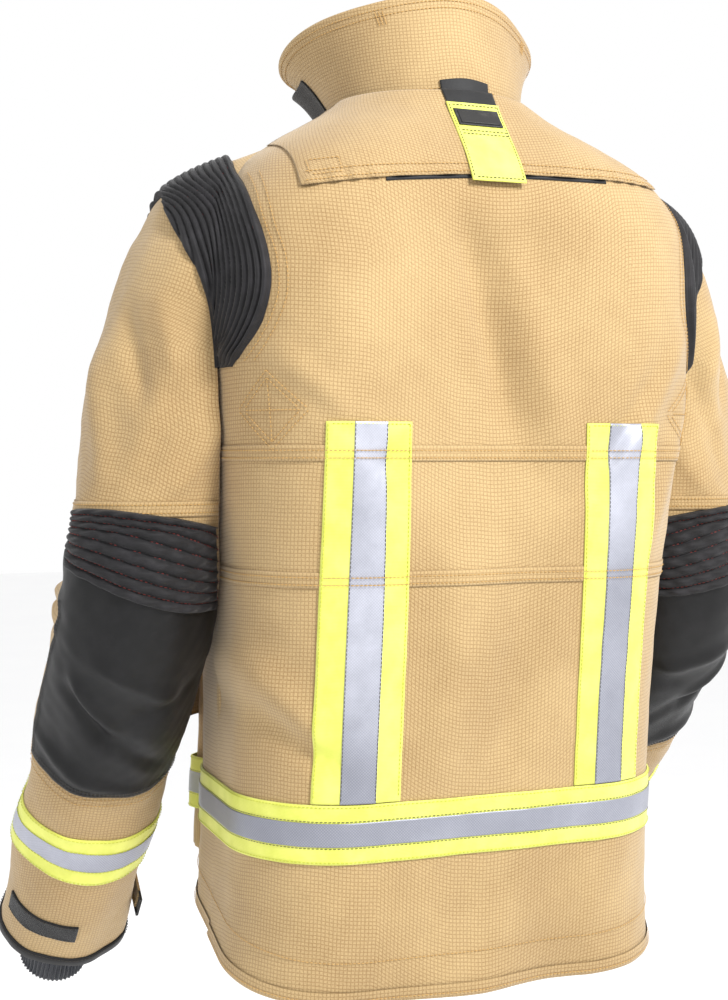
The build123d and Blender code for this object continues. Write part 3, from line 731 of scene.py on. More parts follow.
def webbing(name, light, dark, pitch=0.0011, rough=0.62, sheen=0.15, soil=0.25):
    """Firm woven tape: fine ribs across with a soft colour change."""
    m = Shader(name)
    u, v = m.split()
    ribs = m.wave(v, pitch)
    threads = m.wave(u, pitch * 0.8)
    weave = m.times(ribs, threads)
    tone = m.plus(m.times(weave, 0.45), m.span(m.noise(30.0, 4.0, 0.6), 0.3, 0.7, 0.0, 0.55))
    color = m.mix(tone, dark, light)
    marks = m.span(m.noise(11.0, 6.0, 0.75), 0.60, 0.76, 0.0, soil)
    color = m.mix(marks, color, dark)
    m.bump(weave, 0.00016, 0.7)
    return m.finish(color, m.span(marks, 0.0, 0.3, rough, rough + 0.15), 0.0, sheen, 0.35)


def silver_strip():
    """Reflective film: glass-bead silver, pressed with a fine diamond mesh, its colour darkened in patches as painted
    shade.
    """
    m = Shader("silver")
    u, v = m.split()
    across = m.wave(m.plus(u, v), 0.0026)
    down = m.wave(m.math("SUBTRACT", u, v), 0.0026)
    mesh = m.math("MAXIMUM", m.span(across, 0.86, 1.0), m.span(down, 0.86, 1.0))
    grain = m.noise(1.0, 2.0, 0.6, m.stretch(3000, 3000))
    # Painted shade: large noise patches darken the film as if turned away from the light, and smaller ones darken it
    # as if it lay in creases.
    creased = m.noise(16.0, 5.0, 0.7)
    painted_turn_shade = m.span(m.noise(5.0, 1.0, 0.5), 0.36, 0.64, 0.35, 1.0)
    tone = m.math("MULTIPLY_ADD", mesh, -0.30, m.times(painted_turn_shade, m.span(creased, 0.28, 0.72, 0.65, 1.0)))
    color = m.mix(tone, srgb(122, 124, 134), srgb(200, 202, 214))
    m.bump(m.plus(m.times(mesh, 0.5), m.times(grain, 0.4)), 0.00012, 0.6)
    return m.finish(color, m.span(grain, 0.3, 0.7, 0.34, 0.48), 0.45, 0.0, 0.5)


def dark_cloth(name, light, dark, scale, rough, bump_by, sheen=0.1):
    """Coated dark cloth for patches and pads: fine weave, scuffs and dust."""
    m = Shader(name)
    u, v = m.split()
    weave = m.times(m.wave(m.plus(u, v), scale), m.wave(m.math("SUBTRACT", u, v), scale))
    dust = m.noise(60.0, 6.0, 0.75)
    scuff = m.span(m.noise(14.0, 5.0, 0.7), 0.52, 0.78, 0.0, 1.0)
    tone = m.plus(m.times(weave, 0.30), m.times(m.span(dust, 0.4, 0.75), 0.5))
    tone = m.plus(tone, m.times(scuff, 0.3))
    color = m.mix(tone, dark, light)
    m.bump(m.plus(m.times(weave, 0.6), m.times(dust, 0.4)), bump_by, 0.7)
    return m.finish(color, m.span(scuff, 0.0, 1.0, rough, rough + 0.2), 0.0, sheen, 0.28)


def fuzzy(name, light, dark):
    """Hook-and-loop pile."""
    m = Shader(name)
    pile = m.noise(1.0, 3.0, 0.7, m.stretch(900, 900))
    color = m.mix(m.span(pile, 0.35, 0.7), dark, light)
    m.bump(pile, 0.0009, 1.0)
    return m.finish(color, 0.9, 0.0, 0.3, 0.2)


def knit(name, light, dark):
    """Rib-knit wristlet: the columns are modelled, the stitches are fine bumps."""
    m = Shader(name)
    u, v = m.split()
    loops = m.times(m.wave(u, 0.0016), m.wave(v, 0.0014))
    tone = m.plus(m.times(loops, 0.6), m.times(m.noise(50.0, 4.0, 0.7), 0.4))
    color = m.mix(tone, dark, light)
    m.bump(loops, 0.0004, 0.9)
    return m.finish(color, 0.85, 0.0, 0.35, 0.2)


def quilted(name, light, dark):
    """Quilted thermal liner: the squares are modelled, the cloth's weave is a bump."""
    m = Shader(name)
    u, v = m.split()
    weave = m.times(m.wave(u, 0.0011), m.wave(v, 0.0011))
    check = m.times(m.wave(u, 0.006), m.wave(v, 0.006))
    tone = m.plus(m.times(check, 0.45), m.span(m.noise(30.0, 4.0, 0.6), 0.3, 0.7, 0.0, 0.5))
    color = m.mix(tone, dark, light)
    m.bump(weave, 0.0002, 0.8)
    return m.finish(color, 0.82, 0.0, 0.2, 0.3)


def thread(name, light, dark):
    m = Shader(name)
    tone = m.noise(900.0, 2.0, 0.6)
    twist = m.noise(2600.0, 2.0, 0.6)
    m.bump(twist, 0.0002, 0.8)
    return m.finish(m.mix(tone, dark, light), m.span(tone, 0.3, 0.7, 0.5, 0.7), 0.0, 0.1, 0.4)


def moulded(name, light, dark, rough, metal=0.0):
    m = Shader(name)
    grain = m.noise(380.0, 4.0, 0.6)
    worn = m.span(m.noise(70.0, 5.0, 0.7), 0.5, 0.75)
    m.bump(grain, 0.00012, 0.6)
    return m.finish(m.mix(worn, dark, light), m.span(grain, 0.3, 0.7, rough, rough + 0.15), metal, 0.0, 0.5)


TAN = ripstop("tan_ripstop", srgb(200, 173, 125), srgb(124, 91, 49))
TAN_IN = ripstop("tan_inside", srgb(196, 164, 108), srgb(140, 108, 60))
NEON = webbing("neon_tape", srgb(238, 240, 124), srgb(208, 214, 84), 0.0012, 0.55, 0.2, 0.35)
SILVER_FILM = silver_strip()
PAD = dark_cloth("pad_cloth", srgb(46, 44, 48), srgb(13, 12, 14), 0.0012, 0.62, 0.0003, 0.12)
PATCH = dark_cloth("patch_cloth", srgb(25, 24, 26), srgb(6, 6, 7), 0.0013, 0.44, 0.0003, 0.04)
HOOK = fuzzy("hook_loop", srgb(30, 30, 32), srgb(6, 6, 7))
WEB = webbing("black_webbing", srgb(34, 34, 36), srgb(9, 9, 10), 0.0015, 0.6, 0.1, 0.1)
KNIT = knit("knit", srgb(46, 52, 64), srgb(12, 15, 20))
LINING = quilted("quilt", srgb(196, 184, 128), srgb(140, 126, 80))
COLLAR_IN = webbing("collar_lining_cloth", srgb(60, 60, 62), srgb(26, 26, 28), 0.0012, 0.75, 0.2, 0.1)
BADGE = moulded("badge_rubber", srgb(70, 70, 72), srgb(28, 28, 30), 0.45)
METAL = moulded("zip_metal", srgb(178, 176, 170), srgb(120, 118, 112), 0.30, 0.9)
PLASTIC = moulded("zip_plastic", srgb(60, 58, 54), srgb(28, 27, 26), 0.40)
THREAD_TAN = thread("thread_tan", srgb(214, 176, 108), srgb(158, 116, 58))
THREAD_RED = thread("thread_red", srgb(176, 62, 54), srgb(120, 34, 32))
THREAD_DARK = thread("thread_dark", srgb(72, 66, 58), srgb(34, 31, 28))
THREAD_NEON = thread("thread_neon", srgb(216, 222, 78), srgb(166, 170, 46))


# ------------------------------------------------------------------ how pieces move
def on(body):
    return lambda thing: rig.ride(thing, body)


on_torso = on("torso")


def bend_shoulder(side):
    start, end = (SIGN[side] * 0.180, 0.018, -0.160), (SIGN[side] * 0.291, 0.012, -0.322)
    return lambda thing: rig.blend(thing, "torso", f"{side}_upper_arm", start, end)


def bend_elbow(side):
    axis = np.array((0, 0, -1.0)) + ARM[side][0]
    axis = axis / np.linalg.norm(axis)
    start, end = (tuple(ELBOW[side] + axis * run) for run in (-0.075, 0.040))
    return lambda thing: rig.blend(thing, f"{side}_upper_arm", f"{side}_forearm", start, end)


# ------------------------------------------------------------------ body cloth
ARMHOLE_Y, ARMHOLE_Z = (0.018, 0.052), (-0.122, 0.058)     # centre and reach
HEM_TRIAL_Z = -0.77                       # the height at which a column's hem is worked out
LINER_LIFT, QUILT, QUILT_SIDE = -0.0045, 0.0016, 0.045


def outside_armhole(points):
    """Points of the body, apart from those inside a sleeve, out of sight."""
    dy = (points[:, 1] - ARMHOLE_Y[0]) / ARMHOLE_Y[1]
    dz = (points[:, 2] - ARMHOLE_Z[0]) / ARMHOLE_Z[1]
    return ~((np.abs(points[:, 0]) > 0.16) & (dy * dy + dz * dz < 1))


def hem_z(t, lift=0):
    """Height of the hem under each t."""
    return hem_height(body_point(t, HEM_TRIAL_Z, lift, False)[..., 1])


def body_sheet(name, t0, t1, top, lift, material, flip, node, quilt=0.0, step=0.0035):
    """One body panel from its top line down to the hem."""
    t = np.linspace(t0, t1, max(8, int(abs(t1 - t0) * 0.30 / step)))[None, :]
    share = np.linspace(0, 1, int((top + 0.80) / step))[:, None]
    share = share * 0.8 + share**2 * 0.2
    z = top + (hem_z(t[0], lift) - top) * share
    grow = lift
    if quilt:
        run = cloth_uv(body_point(t, z, lift, False))
        a, b = run[..., 0] / QUILT_SIDE, run[..., 1] / QUILT_SIDE
        puff = np.abs(np.sin(math.pi * (a + b)) * np.sin(math.pi * (a - b)))
        grow = lift + quilt * (puff**0.5 - 1)
    points = body_point(t, z, grow)
    return make_grid(name, points, material, flip, on_torso, node, keep=outside_armhole)


edge_t, liner_t = (float(t_of_x(x, -0.4, True)) for x in (FRONT_GAP, 0.024))
back_cloth = body_sheet("back_cloth", -1.0, 1.0, -0.0005, 0.0, TAN, True, "back_panel", step=0.0030)
body_sheet("back_quilt", -1.0, 1.0, -0.001, LINER_LIFT, LINING, False, "back_liner", QUILT)
front_cloths = {}
for side, sign in SIDES:
    cloth_to, quilt_to = sign * edge_t, sign * liner_t
    front_cloths[side] = body_sheet(
        f"{side}_front_cloth", sign * 1.0, cloth_to, -0.0005, 0.0, TAN, sign > 0, f"{side}_front_panel"
    )
    body_sheet(
        f"{side}_front_quilt", sign * 1.0, quilt_to, -0.001, LINER_LIFT, LINING, sign < 0,
        f"{side}_front_liner", QUILT,
    )


# --- strips along lines of the body, by x and z
def back_by_x(x, z, lift):
    return body_point(t_of_x(x, z), z, lift)


def front_by_x(x, z, lift):
    return body_point(t_of_x(x, z, True), z, lift)


# Hem facing: a rolled edge all round, closing the cloth to the liner; lift and height of each row.
HEM_ROLL = (
    (0.0014, 0.012), (0.0018, 0.003), (0.0008, 0.0003),
    (-0.0018, -0.0004), (-0.0036, 0.002), (-0.0042, 0.014),
)
t = np.linspace(-edge_t, edge_t, 260)
roll = np.stack([body_point(t, hem_z(t) + up, lift) for lift, up in HEM_ROLL])
make_grid("hem_roll", roll, TAN, True, on_torso)

seams_tan = Seams("torso_thread_tan", THREAD_TAN, on_torso)
seams_dark = Seams("torso_thread_dark", THREAD_DARK, on_torso)
seams_neon = Seams("torso_thread_neon", THREAD_NEON, on_torso)

SEAM_LINES, SEAM_ROWS = (-0.332, -0.438), (0.0012, 0.0075)
for level in SEAM_LINES:
    # a lapped seam: the upper cloth lies over the lower one
    lay_on(
        f"lap_{round(-level * 1000)}", body_point, (-1.0, 1.0, 420), (level + 0.012, level - 0.0015, 8),
        0.0002, 0.0011, TAN, True, on_torso,
    )
    for row in SEAM_ROWS:
        seams_tan.sew(body_point, (-1.02, 1.02, 500), level + row, 0.0013)
hem_t = np.linspace(-edge_t + 0.02, edge_t - 0.02, 1100)
for up, lift in ((0.038, 0.0006), (0.0045, 0.0022)):
    seams_tan.sew(body_point, hem_t, hem_z(hem_t) + up, lift)

# --- yoke flap over the upper back
YOKE_LINE = ((-0.170, -0.084), (-0.080, -0.084), (0.0, -0.086), (0.080, -0.093), (0.170, -0.105))
YOKE_HALF, YOKE_TOP = 0.172, -0.0012
yoke_x, yoke_z = np.array(YOKE_LINE).T


def yoke_point(x, share, lift):
    """share runs from the top edge of the body down to the yoke's free edge."""
    z = YOKE_TOP + (smooth_curve(yoke_x, yoke_z, x) - YOKE_TOP) * share
    half_width = sections(BODY, z)[0]
    bound = np.clip(x * np.minimum(1, (half_width - 0.0005) / YOKE_HALF), -YOKE_HALF, YOKE_HALF)
    ease = 0.0011 * ramp(share, 0.75, 1.0) * (1 + np.sin(x * 260 + 3 * np.sin(x * 47)))
    return body_point(t_of_x(bound, z), z, lift + ease)


# Where the painted shadow strip lies: on the back, just under the yoke's free edge.
def yoke_shadow_point(x, share, lift):
    return back_by_x(x, smooth_curve(yoke_x, yoke_z, x) + 0.004 - 0.0075 * share, lift)


across = (-YOKE_HALF, YOKE_HALF, 240)
lay_on("yoke_cloth", yoke_point, across, (0, 1, 46), 0.0002, 0.0020, TAN, True, on_torso, "back_yoke")
for share in (0.965, 0.885):
    seams_tan.sew(yoke_point, (-0.169, 0.169, 400), share, 0.0028)
# Painted shadow: a strip of black webbing laid on the back under the yoke's free edge, where the gap beneath the yoke
# falls in shade.
lay_on("yoke_slot", yoke_shadow_point, (-0.108, 0.103, 160), (0, 1, 4), 0.0001, 0.0007, WEB, True, on_torso)

# --- reflective tapes: middle, half width at the top, half width at the foot
TAPE_AT = {"left": (0.119, 0.037, 0.037), "right": (-0.119, 0.037, 0.034)}
TAPE_ENDS = (-0.3025, -0.6225, 300)
for side, sign in SIDES:
    middle, top_half, low_half = TAPE_AT[side]
    for kind, share, lift, thick, material, node in (
        ("tape", 1.0, 0.0004, 0.0013, NEON, "back_tapes"),
        ("film", 0.40, 0.0018, 0.0006, SILVER_FILM, "back_tape_silver"),
    ):
        def by_share(q, z, h, middle=middle, share=share, top=top_half, low=low_half):
            half = top + (low - top) * ramp(-z, 0.30, 0.62)
            return back_by_x(middle + q * half * share, z, h)

        nodes = (node,) if side == "left" else ()
        lay_on(
            f"{side}_back_{kind}", by_share, (-1, 1, 30), (-0.3005, -0.6235, 150), lift, lift + thick,
            material, True, on_torso, *nodes,
        )
        if kind == "tape":
            for q in (-0.95, 0.95):
                seams_neon.sew(by_share, q, TAPE_ENDS, 0.0019)
            seams_neon.sew(by_share, (-0.95, 0.95, 60), TAPE_ENDS[0], 0.0019)
            for q in (-0.44, 0.44):
                seams_dark.sew(by_share, q * 0.87, TAPE_ENDS, 0.0026, thread=0.0003)
        for level in SEAM_LINES:
            for row in SEAM_ROWS:
                seams_tan.sew(by_share, (-0.98, 0.98, 60), level + row, 0.0022 + lift)

# --- pockets and flaps
POCKET_X, POCKET_Z, POCKET_DEEP = (0.052, 0.182), (-0.518, -0.722), 0.0215
FLAP_X, FLAP_SEAM_X, FLAP_SEAM_Z = (0.046, 0.188), (0.050, 0.184), (-0.581, -0.5155)


def flap_point(x, z, lift):
    return front_by_x(x, z, lift + 0.0006 * np.sin(x * 70))


for side, sign in SIDES:
    # a bellows pocket: flat face, soft gusset walls, open under its flap
    a, b = np.meshgrid(np.linspace(*POCKET_X, 60), np.linspace(*POCKET_Z, 80))
    inset = np.minimum(np.minimum(a - POCKET_X[0], POCKET_X[1] - a), b - POCKET_Z[1])
    depth = POCKET_DEEP * (1 - np.clip(1 - inset / 0.012, 0, 1) ** 3) + 0.0006
    depth = depth - 0.0016 * np.sin(a * 60 + b * 35) * ramp(inset, 0.006, 0.03)
    out = front_by_x(sign * a, b, np.maximum(depth, 0.0008))
    back = front_by_x(sign * a, b, np.maximum(depth - 0.0022, 0.0003))
    both = np.concatenate([back[::-1], out], 0)
    make_grid(f"{side}_pocket_cloth", both, TAN, sign > 0, on_torso, f"{side}_pocket")
    row = (sign * (POCKET_X[0] + 0.004), sign * (POCKET_X[1] - 0.004), 80)
    seams_tan.sew(front_by_x, row, POCKET_Z[1] - 0.003, 0.0006)
    for x in (POCKET_X[0] - 0.003, POCKET_X[1] + 0.003):
        seams_tan.sew(front_by_x, sign * x, (*POCKET_Z, 120), 0.0006)

    flap, (x0, x1) = f"{side}_pocket_flap", (sign * x for x in FLAP_X)
    lay_on(
        f"{side}_flap_cloth", flap_point, (x0, x1, 60), (-0.5115, -0.585, 40),
        0.0242, 0.0268, TAN, sign > 0, on(flap), flap,
    )
    flap_seams = Seams(f"{side}_flap_thread", THREAD_TAN, on(flap))
    edge = (sign * FLAP_SEAM_X[0], sign * FLAP_SEAM_X[1], 80)
    for z in FLAP_SEAM_Z:
        flap_seams.sew(flap_point, edge, z, 0.0270)
    for x in FLAP_SEAM_X:
        flap_seams.sew(flap_point, sign * x, (-0.516, -0.581, 60), 0.0270)
    flap_seams.finish()
    # the flap's sewn root on the front panel
    lay_on(
        f"{side}_flap_root", front_by_x, (x0, x1, 40), (-0.5065, -0.5160, 6),
        0.0002, 0.0002 + 0.0016, TAN, sign > 0, on_torso,
    )
    seams_tan.sew(front_by_x, edge, -0.509, 0.0020)


# --- hem tape: round the body, stepping out over the pockets
def hem_tape_point(t, z, lift):
    x = np.abs(body_point(t, z, 0.0, False)[..., 0])
    step = ramp(x, 0.046, 0.056) * (1 - ramp(x, 0.178, 0.190)) * (np.abs(t) > 1)
    return body_point(t, z, lift + step * (POCKET_DEEP + 0.0012))


for name, top, low, lift, thick, material, node in (
    ("hem_neon", -0.6245, -0.6755, 0.0005, 0.0013, NEON, "hem_tape"),
    ("hem_film", -0.6398, -0.6602, 0.0019, 0.0006, SILVER_FILM, "hem_tape_silver"),
):
    lay_on(
        name, hem_tape_point, (-edge_t + 0.004, edge_t - 0.004, 760), (top, low, 16),
        lift, lift + thick, material, True, on_torso, node,
    )
tape_t = (-edge_t + 0.01, edge_t - 0.01, 1400)
for z in (-0.6262, -0.6738):
    seams_neon.sew(hem_tape_point, tape_t, z, 0.0020)
for z in (-0.6385, -0.6615):
    seams_dark.sew(hem_tape_point, tape_t, z, 0.0021, thread=0.0003)

# ------------------------------------------------------------------ collar
# By height: half width, half depth, centre y and lean in degrees.
COLLAR_LEVELS = np.array([
    (0.000, 0.0900, 0.1000, 0.000, 0.0),
    (0.032, 0.1010, 0.1040, -0.017, 8.0),
    (0.060, 0.1170, 0.1120, -0.036, 16.0),
])
COLLAR_END = math.pi - 0.09               # the opening is 0.09 radians to each side
collar_ripple = make_ripple(7, 0.05, 0.16, 21)


def collar_point(angle, share, lift):
    """angle from the back's middle, + on the wearer's left; share 0 at the seam, 1 at the rim."""
    angle, share = np.broadcast_arrays(np.asarray(angle, float), np.asarray(share, float))
    aside = np.abs(angle)
    level = share * 0.060
    rx, ry, cy, lean = sections(COLLAR_LEVELS, level)
    tilt = np.radians(lean)
    local_y = ry * np.cos(angle)
    x = rx * np.sin(angle)
    y = cy + local_y * np.cos(tilt)
    z = level + local_y * np.sin(tilt) + ramp(aside, 2.0, 3.0) * share * 0.016
    droop = -0.004 * (1 - share) * ramp(aside, 0.0, 0.4)
    wave = share * (0.0022 * np.sin(angle * 3 + 0.6) + 0.0016 * collar_ripple(angle * 0.1, share * 0.08))
    dip = share * 0.0022 * np.sin(angle * 4 + 2.0)
    flare = 0.013 * np.clip(share, 0, 1.1) ** 1.4 * hump(aside, 1.95, 0.62)
    grow = lift + wave + flare
    return np.stack([x + np.sin(angle) * grow, y + np.cos(angle) * grow, z + dip + droop], -1)


def collar_layer(name, angles, share, out, inner, material, node):
    """Outer face, rounded rim and inner face of a collar layer, as one run of rows."""
    rows = [collar_point(angles, s, out) for s in share]
    for turn in np.linspace(0, math.pi, 9)[1:-1]:
        mid, half = (out + inner) / 2, (out - inner) / 2
        rows.append(collar_point(angles, 1 + 0.045 * math.sin(turn), mid + half * math.cos(turn)))
    rows += [collar_point(angles, s, inner) for s in share[::-1]]
    make_grid(name, np.stack(rows), material, False, on_torso, node)


ring = np.linspace(-COLLAR_END, COLLAR_END, 420)
collar_layer("collar_cloth", ring, np.linspace(-0.03, 1, 36), 0.0, -0.0030, TAN, "collar_outer")
lining_rows = np.linspace(-0.02, 0.93, 30)
collar_layer("collar_inside", ring[3:-3], lining_rows, -0.0031, -0.0048, COLLAR_IN, "collar_lining")
ring = (-COLLAR_END + 0.03, COLLAR_END - 0.03, 900)
for share, lift in ((0.945, 0.0004), (0.875, 0.0004), (0.05, 0.0004), (0.90, -0.0052)):
    seams_tan.sew(collar_point, ring, share, lift)
for angle in (-0.95, 0.62, 2.1, -2.1):
    for offset in (-0.030, 0.0, 0.030):
        seams_tan.sew(collar_point, angle + offset, (0.78, 0.94, 30), 0.0006, 0.0020, 0.0001)


def patch_point(angle, share, lift):
    """The throat tab's landing patch, standing off the collar towards the front."""
    return collar_point(angle, share, lift + 0.016 * ramp(angle, 1.85, 2.30))


lay_on(
    "throat_patch", patch_point, (2.50, 1.80, 50), (-0.02, 0.62, 36),
    0.0003, 0.0022, HOOK, True, on_torso, "throat_loop_patch",
)


def throat_point(x, share, lift):
    """Throat tab: hangs on the wearer's right front and crosses the opening."""
    x, share = np.broadcast_arrays(np.asarray(x, float), np.asarray(share, float))
    level = 0.002 + 0.024 * share
    rx, ry, cy, _ = sections(COLLAR_LEVELS, 0.030)
    y = cy - ry * np.sqrt(np.clip(1 - (x / (rx + 0.003)) ** 2, 0.05, 1))
    return np.stack([x, y - (level - 0.014) * 0.55 - 0.0022 - lift, level], -1)


lay_on(
    "throat_cloth", throat_point, (-0.074, 0.039, 60), (0, 1, 16),
    0.0002, 0.0030, TAN, False, on("throat_tab"), "throat_tab",
)
tab_seams = Seams("throat_thread", THREAD_TAN, on("throat_tab"))
for share in (0.08, 0.92):
    tab_seams.sew(throat_point, (-0.071, 0.036, 60), share, 0.0033)
tab_seams.sew(throat_point, 0.036, (0.08, 0.92, 30), 0.0033)
tab_seams.finish()

# ------------------------------------------------------------------ rescue strap, tab and badge
lay_on(
    "rescue_webbing", collar_point, (-0.25, 0.25, 40), (0.0, 0.13, 16),
    0.0002, 0.0026, WEB, True, on_torso, "rescue_strap",
)
lay_on(
    "rescue_webbing_low", back_by_x, (-0.024, 0.024, 30), (-0.0005, -0.018, 10),
    0.0028, 0.0042, WEB, True, on_torso,
)


def tab_point(x, z, lift):
    bow = 0.0012 * np.sin((z + 0.02) * 60)
    return back_by_x(x, z, lift + bow + 0.0012 * ramp(-z, 0.075, 0.094))


for name, half, columns, z, low, high, material, nodes in (
    ("rescue_cloth", 0.0250, 36, (-0.0145, -0.0938, 60), 0.0032, 0.0050, NEON, ("rescue_tab",)),
    ("rescue_plain_badge", 0.021, 40, (-0.0215, -0.0385, 18), 0.0050, 0.0066, BADGE, ("rescue_badge",)),
    ("rescue_badge_face", 0.0185, 40, (-0.0240, -0.0360, 14), 0.0064, 0.0072, PLASTIC, ()),
):
    lay_on(name, tab_point, (-half, half, columns), z, low, high, material, True, on("rescue_tab"), *nodes)
rescue_seams = Seams("rescue_thread", THREAD_DARK, on("rescue_tab"))
for z in (-0.0172, -0.0440, -0.0475, -0.0905):
    rescue_seams.sew(tab_point, (-0.023, 0.023, 50), z, 0.0052)
for x in (-0.0232, 0.0232):
    rescue_seams.sew(tab_point, x, (-0.017, -0.091, 60), 0.0052)
rescue_seams.finish()

# The stitched box where the strap is anchored, and the diamonds beside the tapes.
BOX_X, DIAMOND_Z = (0.139, 0.163), -0.291
for z in (-0.081, -0.095):
    seams_tan.sew(yoke_point, (*BOX_X, 30), (z + 0.0012) / -0.102, 0.0030)
for x in BOX_X:
    seams_tan.sew(yoke_point, x, (0.78, 0.93, 20), 0.0030)
for side, sign in SIDES:
    middle_t = float(t_of_x(0.196, DIAMOND_Z)) * sign
    for size in (1.0, 0.80):
        half_t, half_z = 0.115 * size, 0.033 * size
        for st, sz in ((1, 1), (1, -1), (-1, 1), (-1, -1)):
            q = np.linspace(0, 1, 40)
            t, z = middle_t + st * half_t * q, DIAMOND_Z + sz * half_z * (1 - q)
            seams_tan.sew(body_point, t, z, 0.0006)
    seams_tan.sew(body_point, middle_t + np.linspace(-0.09, 0.09, 40), DIAMOND_Z, 0.0006)
    seams_tan.sew(body_point, middle_t, DIAMOND_Z + np.linspace(-0.026, 0.026, 40), 0.0006)

# ------------------------------------------------------------------ sleeves
RIB_TOP, RIB_LOW, RIB_COUNT = -0.088, -0.038, 8
RIB_FROM, RIB_TO = math.radians(6), math.radians(174)
PATCH_END = 0.163
ROUND = (0, 2 * math.pi, 400)             # a line of stitches right round
UNDER = math.radians(-60)                 # the sleeve's long seam, along the under side
BINDING = (                               # folded over the sleeve's end: run past it and lift
    (-0.0115, 0.0004), (-0.0113, 0.0018), (-0.006, 0.0021), (-0.0012, 0.0021),
    (0.0006, 0.0006), (0.0006, -0.003), (-0.001, -0.0052), (-0.010, -0.0056),
)


def outside_body(middles):
    """Sleeve faces that lie outside the body, with a little tucked under it."""
    return body_distance(*middles.T) > -0.007


def rib_lens(turn):
    """Middle and half height of the lens of ribs at a turn, and how full it is there."""
    full = np.clip(np.sin((turn - RIB_FROM) / (RIB_TO - RIB_FROM) * math.pi), 0, 1) ** 0.35
    return (RIB_TOP + RIB_LOW) / 2 - 0.012 * np.cos(turn), 0.026 * (0.55 + 0.45 * full), full


